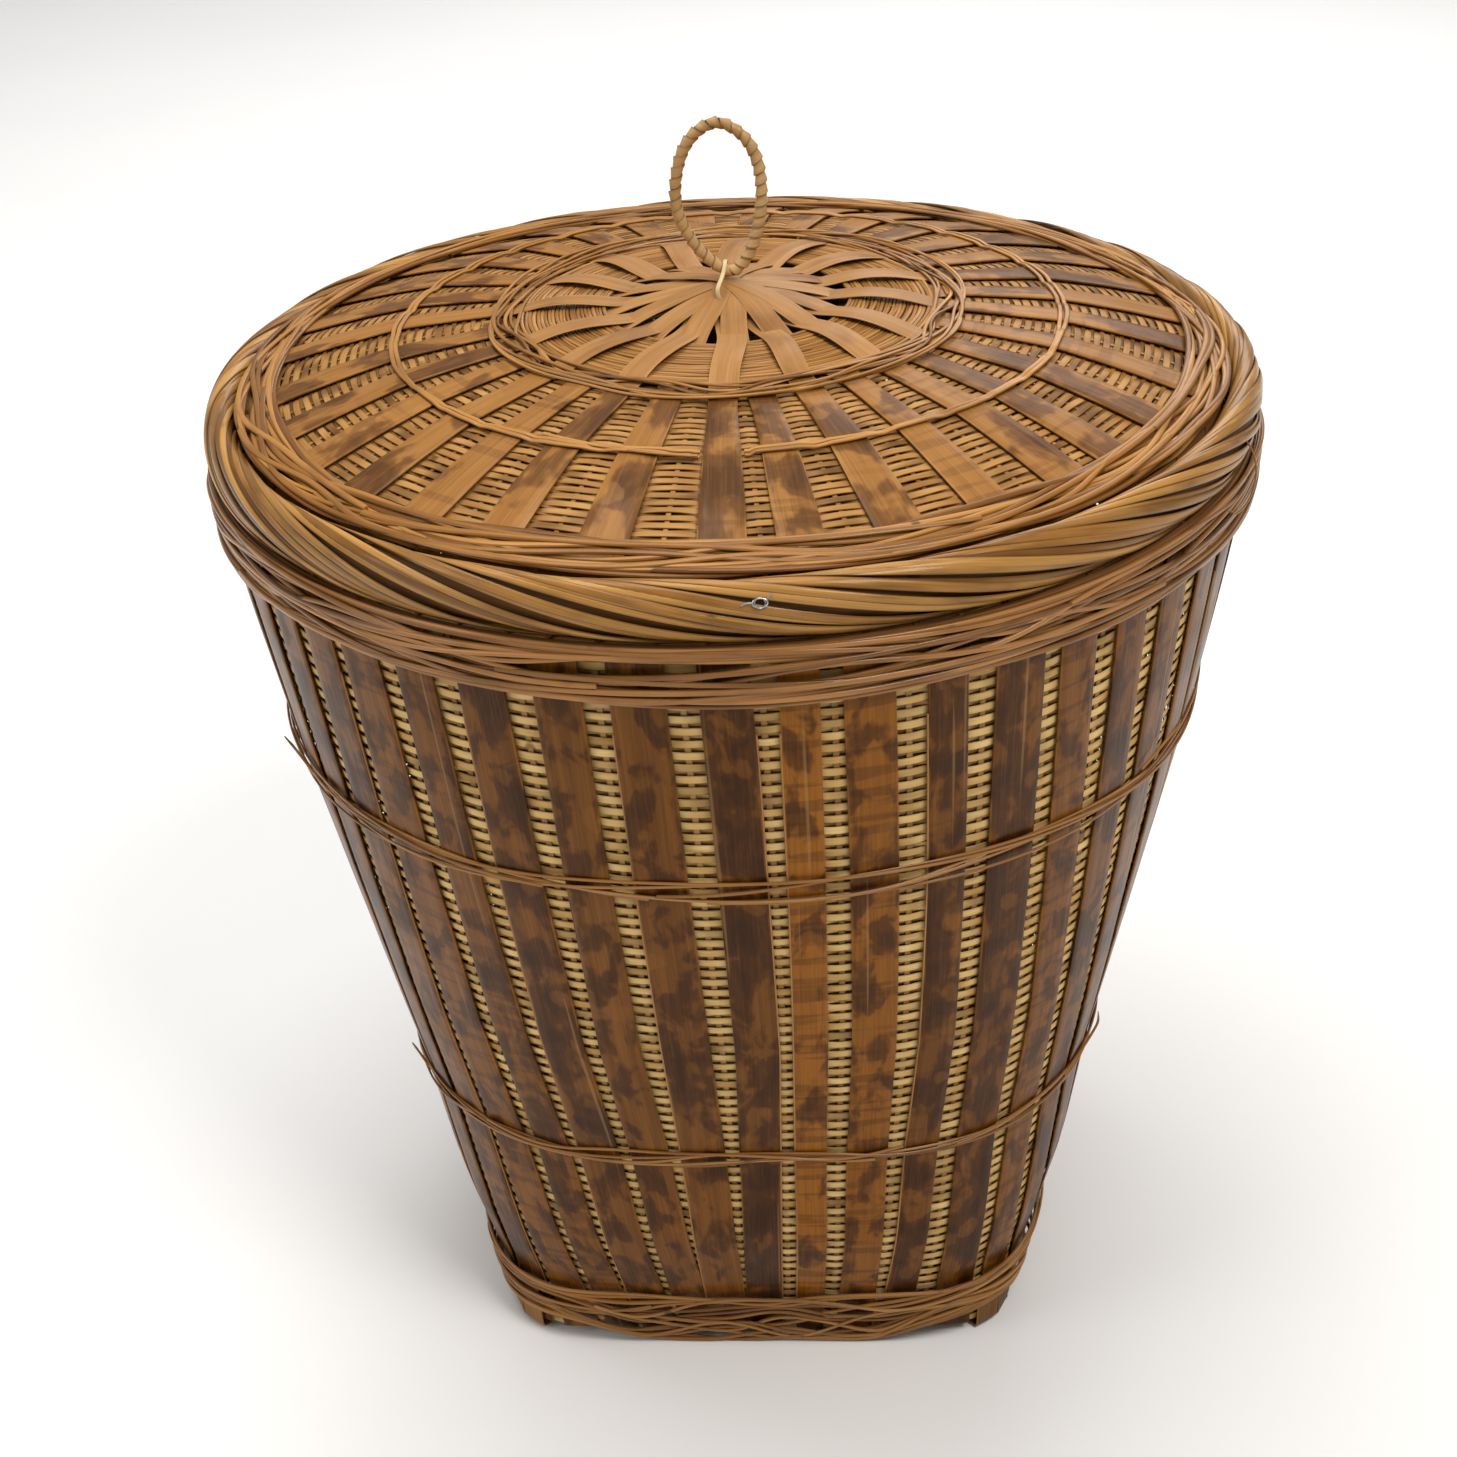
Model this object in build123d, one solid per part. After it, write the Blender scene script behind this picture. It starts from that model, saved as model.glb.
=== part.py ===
from build123d import *
import math
import os

# Woven bamboo laundry hamper with a lift-off lid, millimetres, +Z up.
# The origin is the centre of the footprint at the height of the surface the
# hamper stands on. The base is a rounded square with its sides along X and Y;
# the wall flares and turns round by the rim. The front is towards -Y.

os.makedirs("parts", exist_ok=True)

# ---------------------------------------------------------------- dimensions
# Wall: height, half width front to back, superellipse exponent (2.0 is round)
# and width over depth, all of the outer surface of the inner weave.
WALL = [
    (0.0, 137.0, 8.0, 0.958),
    (4.0, 138.0, 7.3, 0.962),
    (14.0, 141.0, 5.9, 0.970),
    (28.0, 146.0, 4.45, 0.980),
    (43.0, 150.5, 3.85, 0.990),
    (90.0, 166.0, 3.02, 1.0),
    (154.0, 178.0, 2.76, 1.0),
    (240.0, 200.0, 2.40, 1.0),
    (338.0, 224.0, 2.14, 1.0),
    (400.0, 236.0, 2.06, 1.0),
    (453.0, 245.5, 2.01, 1.0),
    (470.0, 246.5, 2.00, 1.0),
]
LINING_T = 1.6            # thickness of the inner weave
SLAT_IN, SLAT_OUT = 0.45, 1.75   # outer slats, measured outward from the weave
SLAT_Z0, SLAT_Z1 = 7.0, 464.0
STAKE_IN, STAKE_OUT = -2.6, -1.95  # thin warps behind the weave
STAKE_W = 4.0
BASE_BAND_Z = (6.0, 43.0)
BASE_BAND_OFF = (4.0, 6.4)
LOWER_HOOP_Z = (150.0, 158.0)
UPPER_HOOP_Z = (333.5, 343.5)
HOOP_OFF = (2.1, 5.0)
RIM_BAND_Z = (449.0, 465.2)
RIM_BAND_OFF = (2.1, 5.4)
RIM_HOOP_Z = (444.0, 465.2)
RIM_HOOP_OFF = (-6.2, -3.0)
RIM_CAP_Z = (465.6, 469.5)
RIM_CAP_OFF = (-6.0, 4.0)
FOOT_Z = (0.0, 27.0)
FOOT_OFF = (2.1, 3.7)
FOOT_HALF_DEG = 8.5
BASE_INSET = 2.4          # plaited base strips end this far inside the wall
BASE_STRIP_W, BASE_STRIP_PITCH, BASE_STRIP_T = 20.0, 23.4, 1.1
BASE_STRIP_N = 11

# Slats: centre angle in degrees near the top, middle and bottom, and how wide
# each is against the usual width. The first 15 run across the front.
FRONT_SLATS = [
    (-141.8, -142.6, -139.9, 0.95),
    (-134.9, -135.7, -132.7, 0.98),
    (-128.1, -128.6, -125.4, 1.08),
    (-120.6, -120.9, -118.2, 0.92),
    (-112.7, -113.2, -111.1, 1.04),
    (-104.6, -105.3, -103.3, 0.98),
    (-96.5, -96.3, -95.9, 1.10),
    (-88.0, -86.9, -87.9, 1.00),
    (-80.9, -79.8, -79.2, 0.76),
    (-74.0, -71.5, -70.6, 1.02),
    (-65.9, -63.0, -62.9, 0.84),
    (-57.9, -54.9, -53.9, 1.12),
    (-50.6, -46.5, -45.9, 0.92),
    (-43.0, -39.5, -38.6, 0.90),
    (-35.6, -32.4, -31.3, 0.96),
]
SLAT_COUNT = 48
SLAT_LEVELS = (418.0, 230.0, 73.0)
SLAT_W_TOP, SLAT_W_MID, SLAT_W_LOW = 21.6, 20.6, 18.6
ODD_WIDTHS = (1.0, 0.93, 1.06, 0.97, 1.08, 0.9, 1.02, 0.95, 1.05)
ODD_SHIFTS = (0.0, 0.35, -0.3, 0.5, -0.45, 0.2, -0.15)

# Lid: top surface of the lid weave as radius and height.
DOME = [
    (0.0, 531.0),
    (24.0, 527.0),
    (56.0, 522.4),
    (90.0, 519.4),
    (97.0, 519.0),
    (114.0, 518.2),
    (158.0, 513.0),
    (190.0, 505.0),
    (222.0, 495.2),
    (241.0, 490.4),
]
LID_T = 1.6
RIB_T = 1.0
RIB_COUNT = 32
FRONT_RIBS = [
    -194.2, -182.5, -168.1, -156.4, -146.0, -134.8, -124.0, -113.2, -101.0,
    -88.0, -79.4, -68.2, -56.9, -45.7, -37.2, -25.9, -14.2, -1.6, 9.2,
]
RIB_R0, RIB_R1 = 24.5, 223.0
COIL_R = (56.0, 89.5)
COIL_OFF = (0.3, 2.3)
INNER_BAND_R, INNER_BAND_OFF = (98.0, 114.0), (1.6, 4.4)
MID_HOOP_R, MID_HOOP_OFF = (155.0, 161.0), (1.6, 3.8)
OUTER_BAND_R, OUTER_BAND_OFF = (215.0, 233.5), (1.6, 4.8)
BORDER_C, BORDER_HALF = (242.6, 482.6), (7.4, 12.8)
COLLAR_R, COLLAR_Z = (229.5, 233.5), (450.0, 489.6)
CROSS_R, CROSS_Z = 23.0, (523.5, 535.0)

# Handle: a teardrop finger loop of wrapped cane, tied to the lid's centre.
LOOP_Z = 538.3            # centre of the cane where it passes under the tie
LOOP = [(2.1, 0.0), (8.0, 3.2), (13.0, 11.5), (16.8, 23.5), (18.5, 38.0),
        (16.8, 53.0), (10.8, 64.2), (0.5, 70.4), (-9.5, 67.2), (-17.2, 57.5),
        (-21.3, 42.0), (-20.6, 28.0), (-14.5, 14.6), (-5.6, 4.4)]
CORE_R, WRAP_IN_R, WRAP_R = 1.8, 1.9, 2.6
TIE_R, TIE_GAP = 0.9, 0.7
TIE_FRONT, TIE_BACK = -19.0, 4.6
TOGGLE_R, TOGGLE_L = 2.6, 34.0


# ------------------------------------------------------------------- helpers
def lerp_table(table, x, col):
    if x <= table[0][0]:
        a, b = table[0], table[1]
    elif x >= table[-1][0]:
        a, b = table[-2], table[-1]
    else:
        for a, b in zip(table, table[1:]):
            if a[0] <= x <= b[0]:
                break
    t = (x - a[0]) / (b[0] - a[0])
    return a[col] + (b[col] - a[col]) * t


def wall_r(deg, z):
    """Radius of the weave's outer surface at an angle and height."""
    s, n, k = (lerp_table(WALL, z, col) for col in (1, 2, 3))
    c, q = abs(math.cos(math.radians(deg))) / k, abs(math.sin(math.radians(deg)))
    return s / (c**n + q**n) ** (1.0 / n)


def wall_point(deg, z, off):
    r = wall_r(deg, z) + off
    return (r * math.cos(math.radians(deg)), r * math.sin(math.radians(deg)), z)


def levels(z0, z1):
    return [z0] + [w[0] for w in WALL if z0 + 0.5 < w[0] < z1 - 0.5] + [z1]


SECTION_POINTS = 48


def section(z, off, at=None):
    pts = []
    for i in range(SECTION_POINTS):
        x, y, _ = wall_point(360.0 * i / SECTION_POINTS, z, off)
        pts.append((x, y, z if at is None else at))
    return Wire([Edge.make_spline([Vector(*p) for p in pts], periodic=True)])


def wall_ring(z0, z1, off_in, off_out):
    """A closed band that follows the wall between two heights."""
    zs = levels(z0, z1)
    outer = Solid.make_loft([section(z, off_out) for z in zs], True)
    cut = [section(zs[0], off_in, at=zs[0] - 2.0)]
    cut += [section(z, off_in) for z in zs]
    cut += [section(zs[-1], off_in, at=zs[-1] + 2.0)]
    inner = Solid.make_loft(cut, True)
    return (outer - inner).solids()[0]


def wall_strip(centre, width, z0, z1, off_in, off_out):
    """A strip that runs up the wall; centre and width are functions of z."""
    wires = []
    for z in levels(z0, z1):
        c = centre(z)
        half = math.degrees(width(z) / 2.0 / wall_r(c, z))
        pin = [Vector(*wall_point(a, z, off_in)) for a in (c - half, c, c + half)]
        pout = [Vector(*wall_point(a, z, off_out)) for a in (c - half, c, c + half)]
        wires.append(
            Wire([
                Edge.make_three_point_arc(*pin),
                Edge.make_line(pin[2], pout[2]),
                Edge.make_three_point_arc(pout[2], pout[1], pout[0]),
                Edge.make_line(pout[0], pin[0]),
            ])
        )
    return Solid.make_loft(wires, True)


def dome_z(r):
    return lerp_table(DOME, r, 1)


def revolve_profile(points):
    face = Face(Wire.make_polygon([Vector(r, 0, z) for r, z in points], close=True))
    return Solid.revolve(face, 360.0, Axis.Z)


def dome_ring(r0, r1, off_in, off_out):
    rs = [r0] + [d[0] for d in DOME if r0 + 0.5 < d[0] < r1 - 0.5] + [r1]
    top = [(r, dome_z(r) + off_out) for r in rs]
    low = [(r, dome_z(r) + off_in) for r in reversed(rs)]
    return revolve_profile(top + low)


def write(name, solids):
    solids = list(solids)
    shape = solids[0] if len(solids) == 1 else Compound(children=solids)
    export_step(shape, f"parts/{name}.step")
    print(name, len(solids))


# ---------------------------------------------------------------- slat layout
def slat_table():
    """Each slat's centre angle at the three levels and its width factor."""
    rows = [tuple(r) for r in FRONT_SLATS]
    left = SLAT_COUNT - len(rows)
    first, last = rows[0], rows[-1]
    for i in range(1, left + 1):
        k = i / (left + 1.0)
        shift = ODD_SHIFTS[i % len(ODD_SHIFTS)]
        rows.append(
            tuple(last[c] + (first[c] + 360.0 - last[c]) * k + shift for c in range(3))
            + (ODD_WIDTHS[i % len(ODD_WIDTHS)],)
        )
    return rows


def slat_centre(row):
    top, mid, low = SLAT_LEVELS
    table = [(low, row[2]), (mid, row[1]), (top, row[0])]

    def f(z):
        return lerp_table(table, min(max(z, low - 60.0), top + 30.0), 1)

    return f


def slat_width(row):
    top, mid, low = SLAT_LEVELS
    table = [(0.0, SLAT_W_LOW * 0.97), (low, SLAT_W_LOW), (mid, SLAT_W_MID), (top, SLAT_W_TOP), (470.0, SLAT_W_TOP)]
    return lambda z: lerp_table(table, z, 1) * row[3]


ROWS = slat_table()


def side_of(deg):
    a = (deg + 360.0) % 360.0
    if 225.0 <= a < 315.0:
        return "front"
    if 45.0 <= a < 135.0:
        return "back"
    return "left" if 135.0 <= a < 225.0 else "right"


# ---------------------------------------------------------------- the basket
write("body_weave", [wall_ring(4.2, 465.0, -LINING_T, 0.0)])

sides = {"front": [], "right": [], "back": [], "left": []}
for row in ROWS:
    solid = wall_strip(slat_centre(row), slat_width(row), SLAT_Z0, SLAT_Z1, SLAT_IN, SLAT_OUT)
    sides[side_of(row[1])].append(solid)
for side, solids in sides.items():
    write(f"{side}_slats", solids)

stakes = []
for a, b in zip(ROWS, ROWS[1:] + [tuple(v + 360.0 for v in ROWS[0][:3]) + (1.0,)]):
    mid = tuple((a[c] + b[c]) / 2.0 for c in range(3)) + (1.0,)
    stakes.append(wall_strip(slat_centre(mid), lambda z: STAKE_W, 9.5, 464.0, STAKE_IN, STAKE_OUT))
write("weave_stakes", stakes)

write("base_band", [wall_ring(*BASE_BAND_Z, *BASE_BAND_OFF)])
write("lower_hoop", [wall_ring(*LOWER_HOOP_Z, *HOOP_OFF)])
write("upper_hoop", [wall_ring(*UPPER_HOOP_Z, *HOOP_OFF)])
write("rim_band", [wall_ring(*RIM_BAND_Z, *RIM_BAND_OFF)])
write("rim_inner_hoop", [wall_ring(*RIM_HOOP_Z, *RIM_HOOP_OFF)])
write("rim_cap", [wall_ring(*RIM_CAP_Z, *RIM_CAP_OFF)])

for name, corner in (
    ("front_left_foot", -135.0),
    ("front_right_foot", -45.0),
    ("back_right_foot", 45.0),
    ("back_left_foot", 135.0),
):
    width = lambda z, c=corner: math.radians(2 * FOOT_HALF_DEG) * wall_r(c, z)
    # Three strips side by side would crease at the corner, so the foot is cut
    # from a ring and keeps the corner's own curve.
    ring = wall_ring(FOOT_Z[0], FOOT_Z[1], *FOOT_OFF)
    reach = 260.0
    a0, a1 = math.radians(corner - FOOT_HALF_DEG), math.radians(corner + FOOT_HALF_DEG)
    wedge = extrude(
        Face(Wire.make_polygon([
            Vector(0, 0, -5),
            Vector(reach * math.cos(a0), reach * math.sin(a0), -5),
            Vector(reach * math.cos(a1), reach * math.sin(a1), -5),
        ], close=True)),
        amount=60,
        dir=(0, 0, 1),
    )
    write(name, (ring & wedge).solids())

# Plaited base: strips in two directions, and the mat of the inner weave.
outline = Face(section(4.0, -BASE_INSET, at=3.0))
prism = extrude(outline, amount=8, dir=(0, 0, 1))
for name, z, turn in (("base_strips_lengthwise", 4.4, 0.0), ("base_strips_crosswise", 5.7, 90.0)):
    strips = []
    for i in range(BASE_STRIP_N):
        x = (i - (BASE_STRIP_N - 1) / 2.0) * BASE_STRIP_PITCH
        bar = Pos(x, 0, z + BASE_STRIP_T / 2) * Box(BASE_STRIP_W, 300.0, BASE_STRIP_T)
        bar = Rot(0, 0, turn) * bar
        strips += (prism & bar).solids()
    write(name, strips)
mat = extrude(Face(section(7.2, -LINING_T - 1.6, at=7.2)), amount=1.6, dir=(0, 0, 1))
write("base_mat", [mat.solids()[0]])

# ------------------------------------------------------------------- the lid
write("lid_weave", [dome_ring(99.0, 234.0, -LID_T, 0.0)])


def rib_angles():
    front = list(FRONT_RIBS)
    left = RIB_COUNT - len(front)
    gap = front[0] + 360.0 - front[-1]
    return front + [front[-1] + gap * i / (left + 1.0) for i in range(1, left + 1)]


def rib(deg, over):
    """A lid rib. Every second one passes over the centre coil, the others under it."""
    if over:
        offs = [(24.5, 2.6), (56.0, 2.6), (90.0, 2.6), (97.0, 0.35), (RIB_R1, 0.35)]
    else:
        offs = [(24.5, -1.1), (56.0, -1.1), (90.0, -1.1), (97.0, 0.35), (RIB_R1, 0.35)]
    widths = [(24.5, 8.2), (56.0, 12.0), (97.0, 12.4), (125.0, 13.0), (190.0, 19.0), (RIB_R1, 21.4)]
    rs = sorted({RIB_R0, RIB_R1, 56.0, 90.0, 97.0, 114.0, 158.0, 190.0, 222.0})
    wires = []
    for r in rs:
        w = lerp_table(widths, r, 1) / 2.0
        z = dome_z(r) + lerp_table(offs, r, 1)
        wires.append(Wire.make_polygon(
            [Vector(r, -w, z), Vector(r, w, z), Vector(r, w, z + RIB_T), Vector(r, -w, z + RIB_T)], close=True
        ))
    return Rot(0, 0, deg) * Solid.make_loft(wires, True)


over, under = [], []
for i, deg in enumerate(rib_angles()):
    (over if i % 2 else under).append(rib(deg, bool(i % 2)))
write("lid_ribs_over_coil", over)
write("lid_ribs_under_coil", under)
write("lid_coil", [dome_ring(*COIL_R, *COIL_OFF)])
write("lid_inner_band", [dome_ring(*INNER_BAND_R, *INNER_BAND_OFF)])
write("lid_mid_hoop", [dome_ring(*MID_HOOP_R, *MID_HOOP_OFF)])
write("lid_outer_band", [dome_ring(*OUTER_BAND_R, *OUTER_BAND_OFF)])

border_face = Pos(BORDER_C[0], 0, BORDER_C[1]) * (Rot(90, 0, 0) * Ellipse(*BORDER_HALF))
write("lid_border", [revolve(border_face, Axis.Z, 360).solids()[0]])
write("lid_collar", [revolve_profile([
    (COLLAR_R[0], COLLAR_Z[0]), (COLLAR_R[1], COLLAR_Z[0]),
    (COLLAR_R[1], COLLAR_Z[1] - 0.6), (COLLAR_R[0], COLLAR_Z[1])])])

disc = Pos(0, 0, (CROSS_Z[0] + CROSS_Z[1]) / 2) * Cylinder(CROSS_R, CROSS_Z[1] - CROSS_Z[0])
for y in (TIE_FRONT, TIE_BACK):
    disc = disc - Pos(0, y, CROSS_Z[0]) * Cylinder(TIE_R + 0.5, 60)
write("lid_centre_crossing", [disc.solids()[0]])

toggle_z = CROSS_Z[0] - 0.5 - TOGGLE_R
write("tie_toggle", [(Pos(0, (TIE_FRONT + TIE_BACK) / 2, toggle_z)
                      * (Rot(0, 90, 0) * Cylinder(TOGGLE_R, TOGGLE_L))).solids()[0]])
tie_low = toggle_z - TOGGLE_R - TIE_R - 0.3
tie_top = LOOP_Z + WRAP_R + TIE_R + TIE_GAP
tie_path = FilletPolyline(
    (0, TIE_BACK, tie_low), (0, TIE_BACK, tie_top), (0, -3.8, tie_top),
    (0, TIE_FRONT, CROSS_Z[1] + 1.5), (0, TIE_FRONT, tie_low),
    radius=1.6, close=True,
)
tie = sweep(Plane(origin=tie_path @ 0, z_dir=tie_path % 0) * Circle(TIE_R), path=tie_path)
write("handle_tie", [tie.solids()[0]])

# ---------------------------------------------------------------- the handle
loop_path = Wire([Edge.make_spline([Vector(x, 0, LOOP_Z + z) for x, z in LOOP], periodic=True)])


def loop_tube(radius):
    start = Plane(origin=loop_path @ 0, z_dir=loop_path % 0)
    return sweep(start * Circle(radius), path=loop_path).solids()[0]


write("handle_core", [loop_tube(CORE_R)])
write("handle_wrap", [(loop_tube(WRAP_R) - loop_tube(WRAP_IN_R)).solids()[0]])
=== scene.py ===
import math

import bpy
import numpy as np
from mathutils import Matrix, Vector


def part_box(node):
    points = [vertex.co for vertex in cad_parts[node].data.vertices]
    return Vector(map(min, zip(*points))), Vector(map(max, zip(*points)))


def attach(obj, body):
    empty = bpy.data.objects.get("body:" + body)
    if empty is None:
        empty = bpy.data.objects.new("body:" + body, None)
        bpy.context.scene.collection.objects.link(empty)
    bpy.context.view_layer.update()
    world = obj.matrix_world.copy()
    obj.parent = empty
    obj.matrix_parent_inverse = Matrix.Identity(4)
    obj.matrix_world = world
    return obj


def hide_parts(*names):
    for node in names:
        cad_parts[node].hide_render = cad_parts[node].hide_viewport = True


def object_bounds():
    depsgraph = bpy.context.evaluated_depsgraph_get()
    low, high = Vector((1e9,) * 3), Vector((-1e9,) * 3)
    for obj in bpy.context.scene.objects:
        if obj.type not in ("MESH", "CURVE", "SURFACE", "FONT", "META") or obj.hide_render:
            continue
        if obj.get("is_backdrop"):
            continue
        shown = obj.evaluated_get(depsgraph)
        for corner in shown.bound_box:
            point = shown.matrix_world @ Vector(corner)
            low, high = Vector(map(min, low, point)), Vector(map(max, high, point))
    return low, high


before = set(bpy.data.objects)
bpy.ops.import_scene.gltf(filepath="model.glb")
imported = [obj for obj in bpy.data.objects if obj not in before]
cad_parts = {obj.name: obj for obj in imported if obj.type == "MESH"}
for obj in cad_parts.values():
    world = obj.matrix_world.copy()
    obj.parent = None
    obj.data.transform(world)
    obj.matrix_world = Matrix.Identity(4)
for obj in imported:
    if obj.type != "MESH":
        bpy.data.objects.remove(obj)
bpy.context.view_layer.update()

SCENE = bpy.context.scene
MM = 0.001
TAU = 2 * math.pi
RNG = np.random.default_rng(11)

# ------------------------------------------------------------ camera (first)
CAM_POS = np.array([0.0752, -1.1253, 0.9326])
YAW, PITCH, ROLL = -0.0754, 0.5175, -0.0523
_fwd = np.array([math.sin(YAW) * math.cos(PITCH), math.cos(YAW) * math.cos(PITCH), -math.sin(PITCH)])
_rgt = np.array([math.cos(YAW), -math.sin(YAW), 0.0])
_up = np.cross(_rgt, _fwd)
_r2 = math.cos(ROLL) * _rgt + math.sin(ROLL) * _up
_u2 = -math.sin(ROLL) * _rgt + math.cos(ROLL) * _up
cam_data = bpy.data.cameras.new("camera")
cam_data.lens, cam_data.sensor_width, cam_data.sensor_fit = 61.71, 36.0, "HORIZONTAL"
cam_data.clip_start, cam_data.clip_end = 0.05, 30.0
cam = bpy.data.objects.new("camera", cam_data)
SCENE.collection.objects.link(cam)
cam.matrix_world = Matrix(
    [[*map(float, row)] for row in np.c_[_r2, _u2, -_fwd, CAM_POS]] + [[0.0, 0.0, 0.0, 1.0]]
)
SCENE.camera = cam

# ------------------------------------------- the hamper's surfaces (from CAD)
# Wall: height, half depth, superellipse exponent and width over depth, mm.
WALL = np.array([
    (0.0, 137.0, 8.0, 0.958), (4.0, 138.0, 7.3, 0.962), (14.0, 141.0, 5.9, 0.970),
    (28.0, 146.0, 4.45, 0.980), (43.0, 150.5, 3.85, 0.990), (90.0, 166.0, 3.02, 1.0),
    (154.0, 178.0, 2.76, 1.0), (240.0, 200.0, 2.40, 1.0), (338.0, 224.0, 2.14, 1.0),
    (400.0, 236.0, 2.06, 1.0), (453.0, 245.5, 2.01, 1.0), (470.0, 246.5, 2.00, 1.0),
])
DOME = np.array([
    (0.0, 531.0), (24.0, 527.0), (56.0, 522.4), (90.0, 519.4), (97.0, 519.0), (114.0, 518.2),
    (158.0, 513.0), (190.0, 505.0), (222.0, 495.2), (241.0, 490.4),
])
SLATS_FRONT = [
    (-141.8, -142.6, -139.9, 0.95), (-134.9, -135.7, -132.7, 0.98), (-128.1, -128.6, -125.4, 1.08),
    (-120.6, -120.9, -118.2, 0.92), (-112.7, -113.2, -111.1, 1.04), (-104.6, -105.3, -103.3, 0.98),
    (-96.5, -96.3, -95.9, 1.10), (-88.0, -86.9, -87.9, 1.00), (-80.9, -79.8, -79.2, 0.76),
    (-74.0, -71.5, -70.6, 1.02), (-65.9, -63.0, -62.9, 0.84), (-57.9, -54.9, -53.9, 1.12),
    (-50.6, -46.5, -45.9, 0.92), (-43.0, -39.5, -38.6, 0.90), (-35.6, -32.4, -31.3, 0.96),
]
ODD_WIDTHS = (1.0, 0.93, 1.06, 0.97, 1.08, 0.9, 1.02, 0.95, 1.05)
ODD_SHIFTS = (0.0, 0.35, -0.3, 0.5, -0.45, 0.2, -0.15)
RIBS_FRONT = [
    -194.2, -182.5, -168.1, -156.4, -146.0, -134.8, -124.0, -113.2, -101.0,
    -88.0, -79.4, -68.2, -56.9, -45.7, -37.2, -25.9, -14.2, -1.6, 9.2,
]


def smooth_rows(rows, lo, hi, sigma):
    """The table with its corners eased, sampled every millimetre."""
    x = np.arange(lo - 4 * sigma, hi + 4 * sigma + 0.5, 1.0)
    k = np.exp(-0.5 * (np.arange(-3 * sigma, 3 * sigma + 1) / sigma) ** 2)
    k /= k.sum()
    cols = []
    for c in range(1, rows.shape[1]):
        y = np.interp(x, rows[:, 0], rows[:, c])
        a = (rows[1, c] - rows[0, c]) / (rows[1, 0] - rows[0, 0])
        b = (rows[-1, c] - rows[-2, c]) / (rows[-1, 0] - rows[-2, 0])
        y = np.where(x < rows[0, 0], rows[0, c] + a * (x - rows[0, 0]), y)
        y = np.where(x > rows[-1, 0], rows[-1, c] + b * (x - rows[-1, 0]), y)
        pad = len(k) // 2
        yy = np.concatenate([y[0] + a * np.arange(-pad, 0), y, y[-1] + b * np.arange(1, pad + 1)])
        cols.append(np.convolve(yy, k, "valid"))
    return x, cols


_zx, (_zs, _zn, _zk) = smooth_rows(WALL, -10, 480, 5)
_rx, (_rz,) = smooth_rows(DOME, 0, 260, 6)


def wall_r(phi, z):
    s, n, k = np.interp(z, _zx, _zs), np.maximum(np.interp(z, _zx, _zn), 2.0), np.interp(z, _zx, _zk)
    return s / (np.abs(np.cos(phi) / k) ** n + np.abs(np.sin(phi)) ** n) ** (1.0 / n)


def wall_xyz(phi, z):
    r = wall_r(phi, z)
    return np.stack([r * np.cos(phi), r * np.sin(phi), z + 0 * r], -1)


def wall(phi, z, off=0.0):
    """Points on the wall moved off it along its own normal, and that normal (mm, radians)."""
    phi, z, off = np.broadcast_arrays(*map(lambda a: np.asarray(a, float), (phi, z, off)))
    e = 1e-3
    dp = wall_xyz(phi + e, z) - wall_xyz(phi - e, z)
    dz = wall_xyz(phi, z + 1.0) - wall_xyz(phi, z - 1.0)
    n = np.cross(dp, dz)
    n /= np.linalg.norm(n, axis=-1, keepdims=True)
    return wall_xyz(phi, z) + n * off[..., None], n


def dome_z(r):
    return np.interp(r, _rx, _rz)


def dome(phi, r, off=0.0):
    phi, r, off = np.broadcast_arrays(*map(lambda a: np.asarray(a, float), (phi, r, off)))
    slope = (dome_z(r + 1.5) - dome_z(r - 1.5)) / 3.0
    c, s = np.cos(phi), np.sin(phi)
    n = np.stack([-slope * c, -slope * s, np.ones_like(c)], -1)
    n /= np.linalg.norm(n, axis=-1, keepdims=True)
    return np.stack([r * c, r * s, dome_z(r)], -1) + n * off[..., None], n


def wobble(x, amp, freqs, rng=None):
    """A smooth uneven line: a few sines with chance phases. x in radians, whole freqs close on a ring."""
    rng = rng or RNG
    out = np.zeros_like(np.asarray(x, float))
    for f in freqs:
        out += np.sin(f * x + rng.uniform(0, TAU)) * rng.uniform(0.5, 1.0)
    return out * amp / max(1.0, math.sqrt(len(freqs)))


# ------------------------------------------------------------- mesh building
PROF_SLAT = [(-.5, .12), (-.47, 0), (.47, 0), (.5, .12), (.5, .72), (.475, .93), (.3, 1.03), (0, 1.07), (-.3, 1.03), (-.475, .93), (-.5, .72)]
PROF_WEFT = [(-.5, .1), (.5, .1), (.47, .78), (0, 1.0), (-.47, .78)]
PROF_FLAT = [(-.5, .1), (.5, .1), (.5, .7), (.38, .98), (0, 1.08), (-.38, .98), (-.5, .7)]
PROF_CANE = [(.5 * math.cos(a), .5 + .5 * math.sin(a)) for a in np.arange(8) * TAU / 8]
PROF_SPLIT = [(-.46, .06), (-.2, 0), (.2, 0), (.46, .06), (.5, .34), (.42, .72), (.2, .96), (-.06, 1.0), (-.34, .86), (-.5, .4)]


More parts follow.
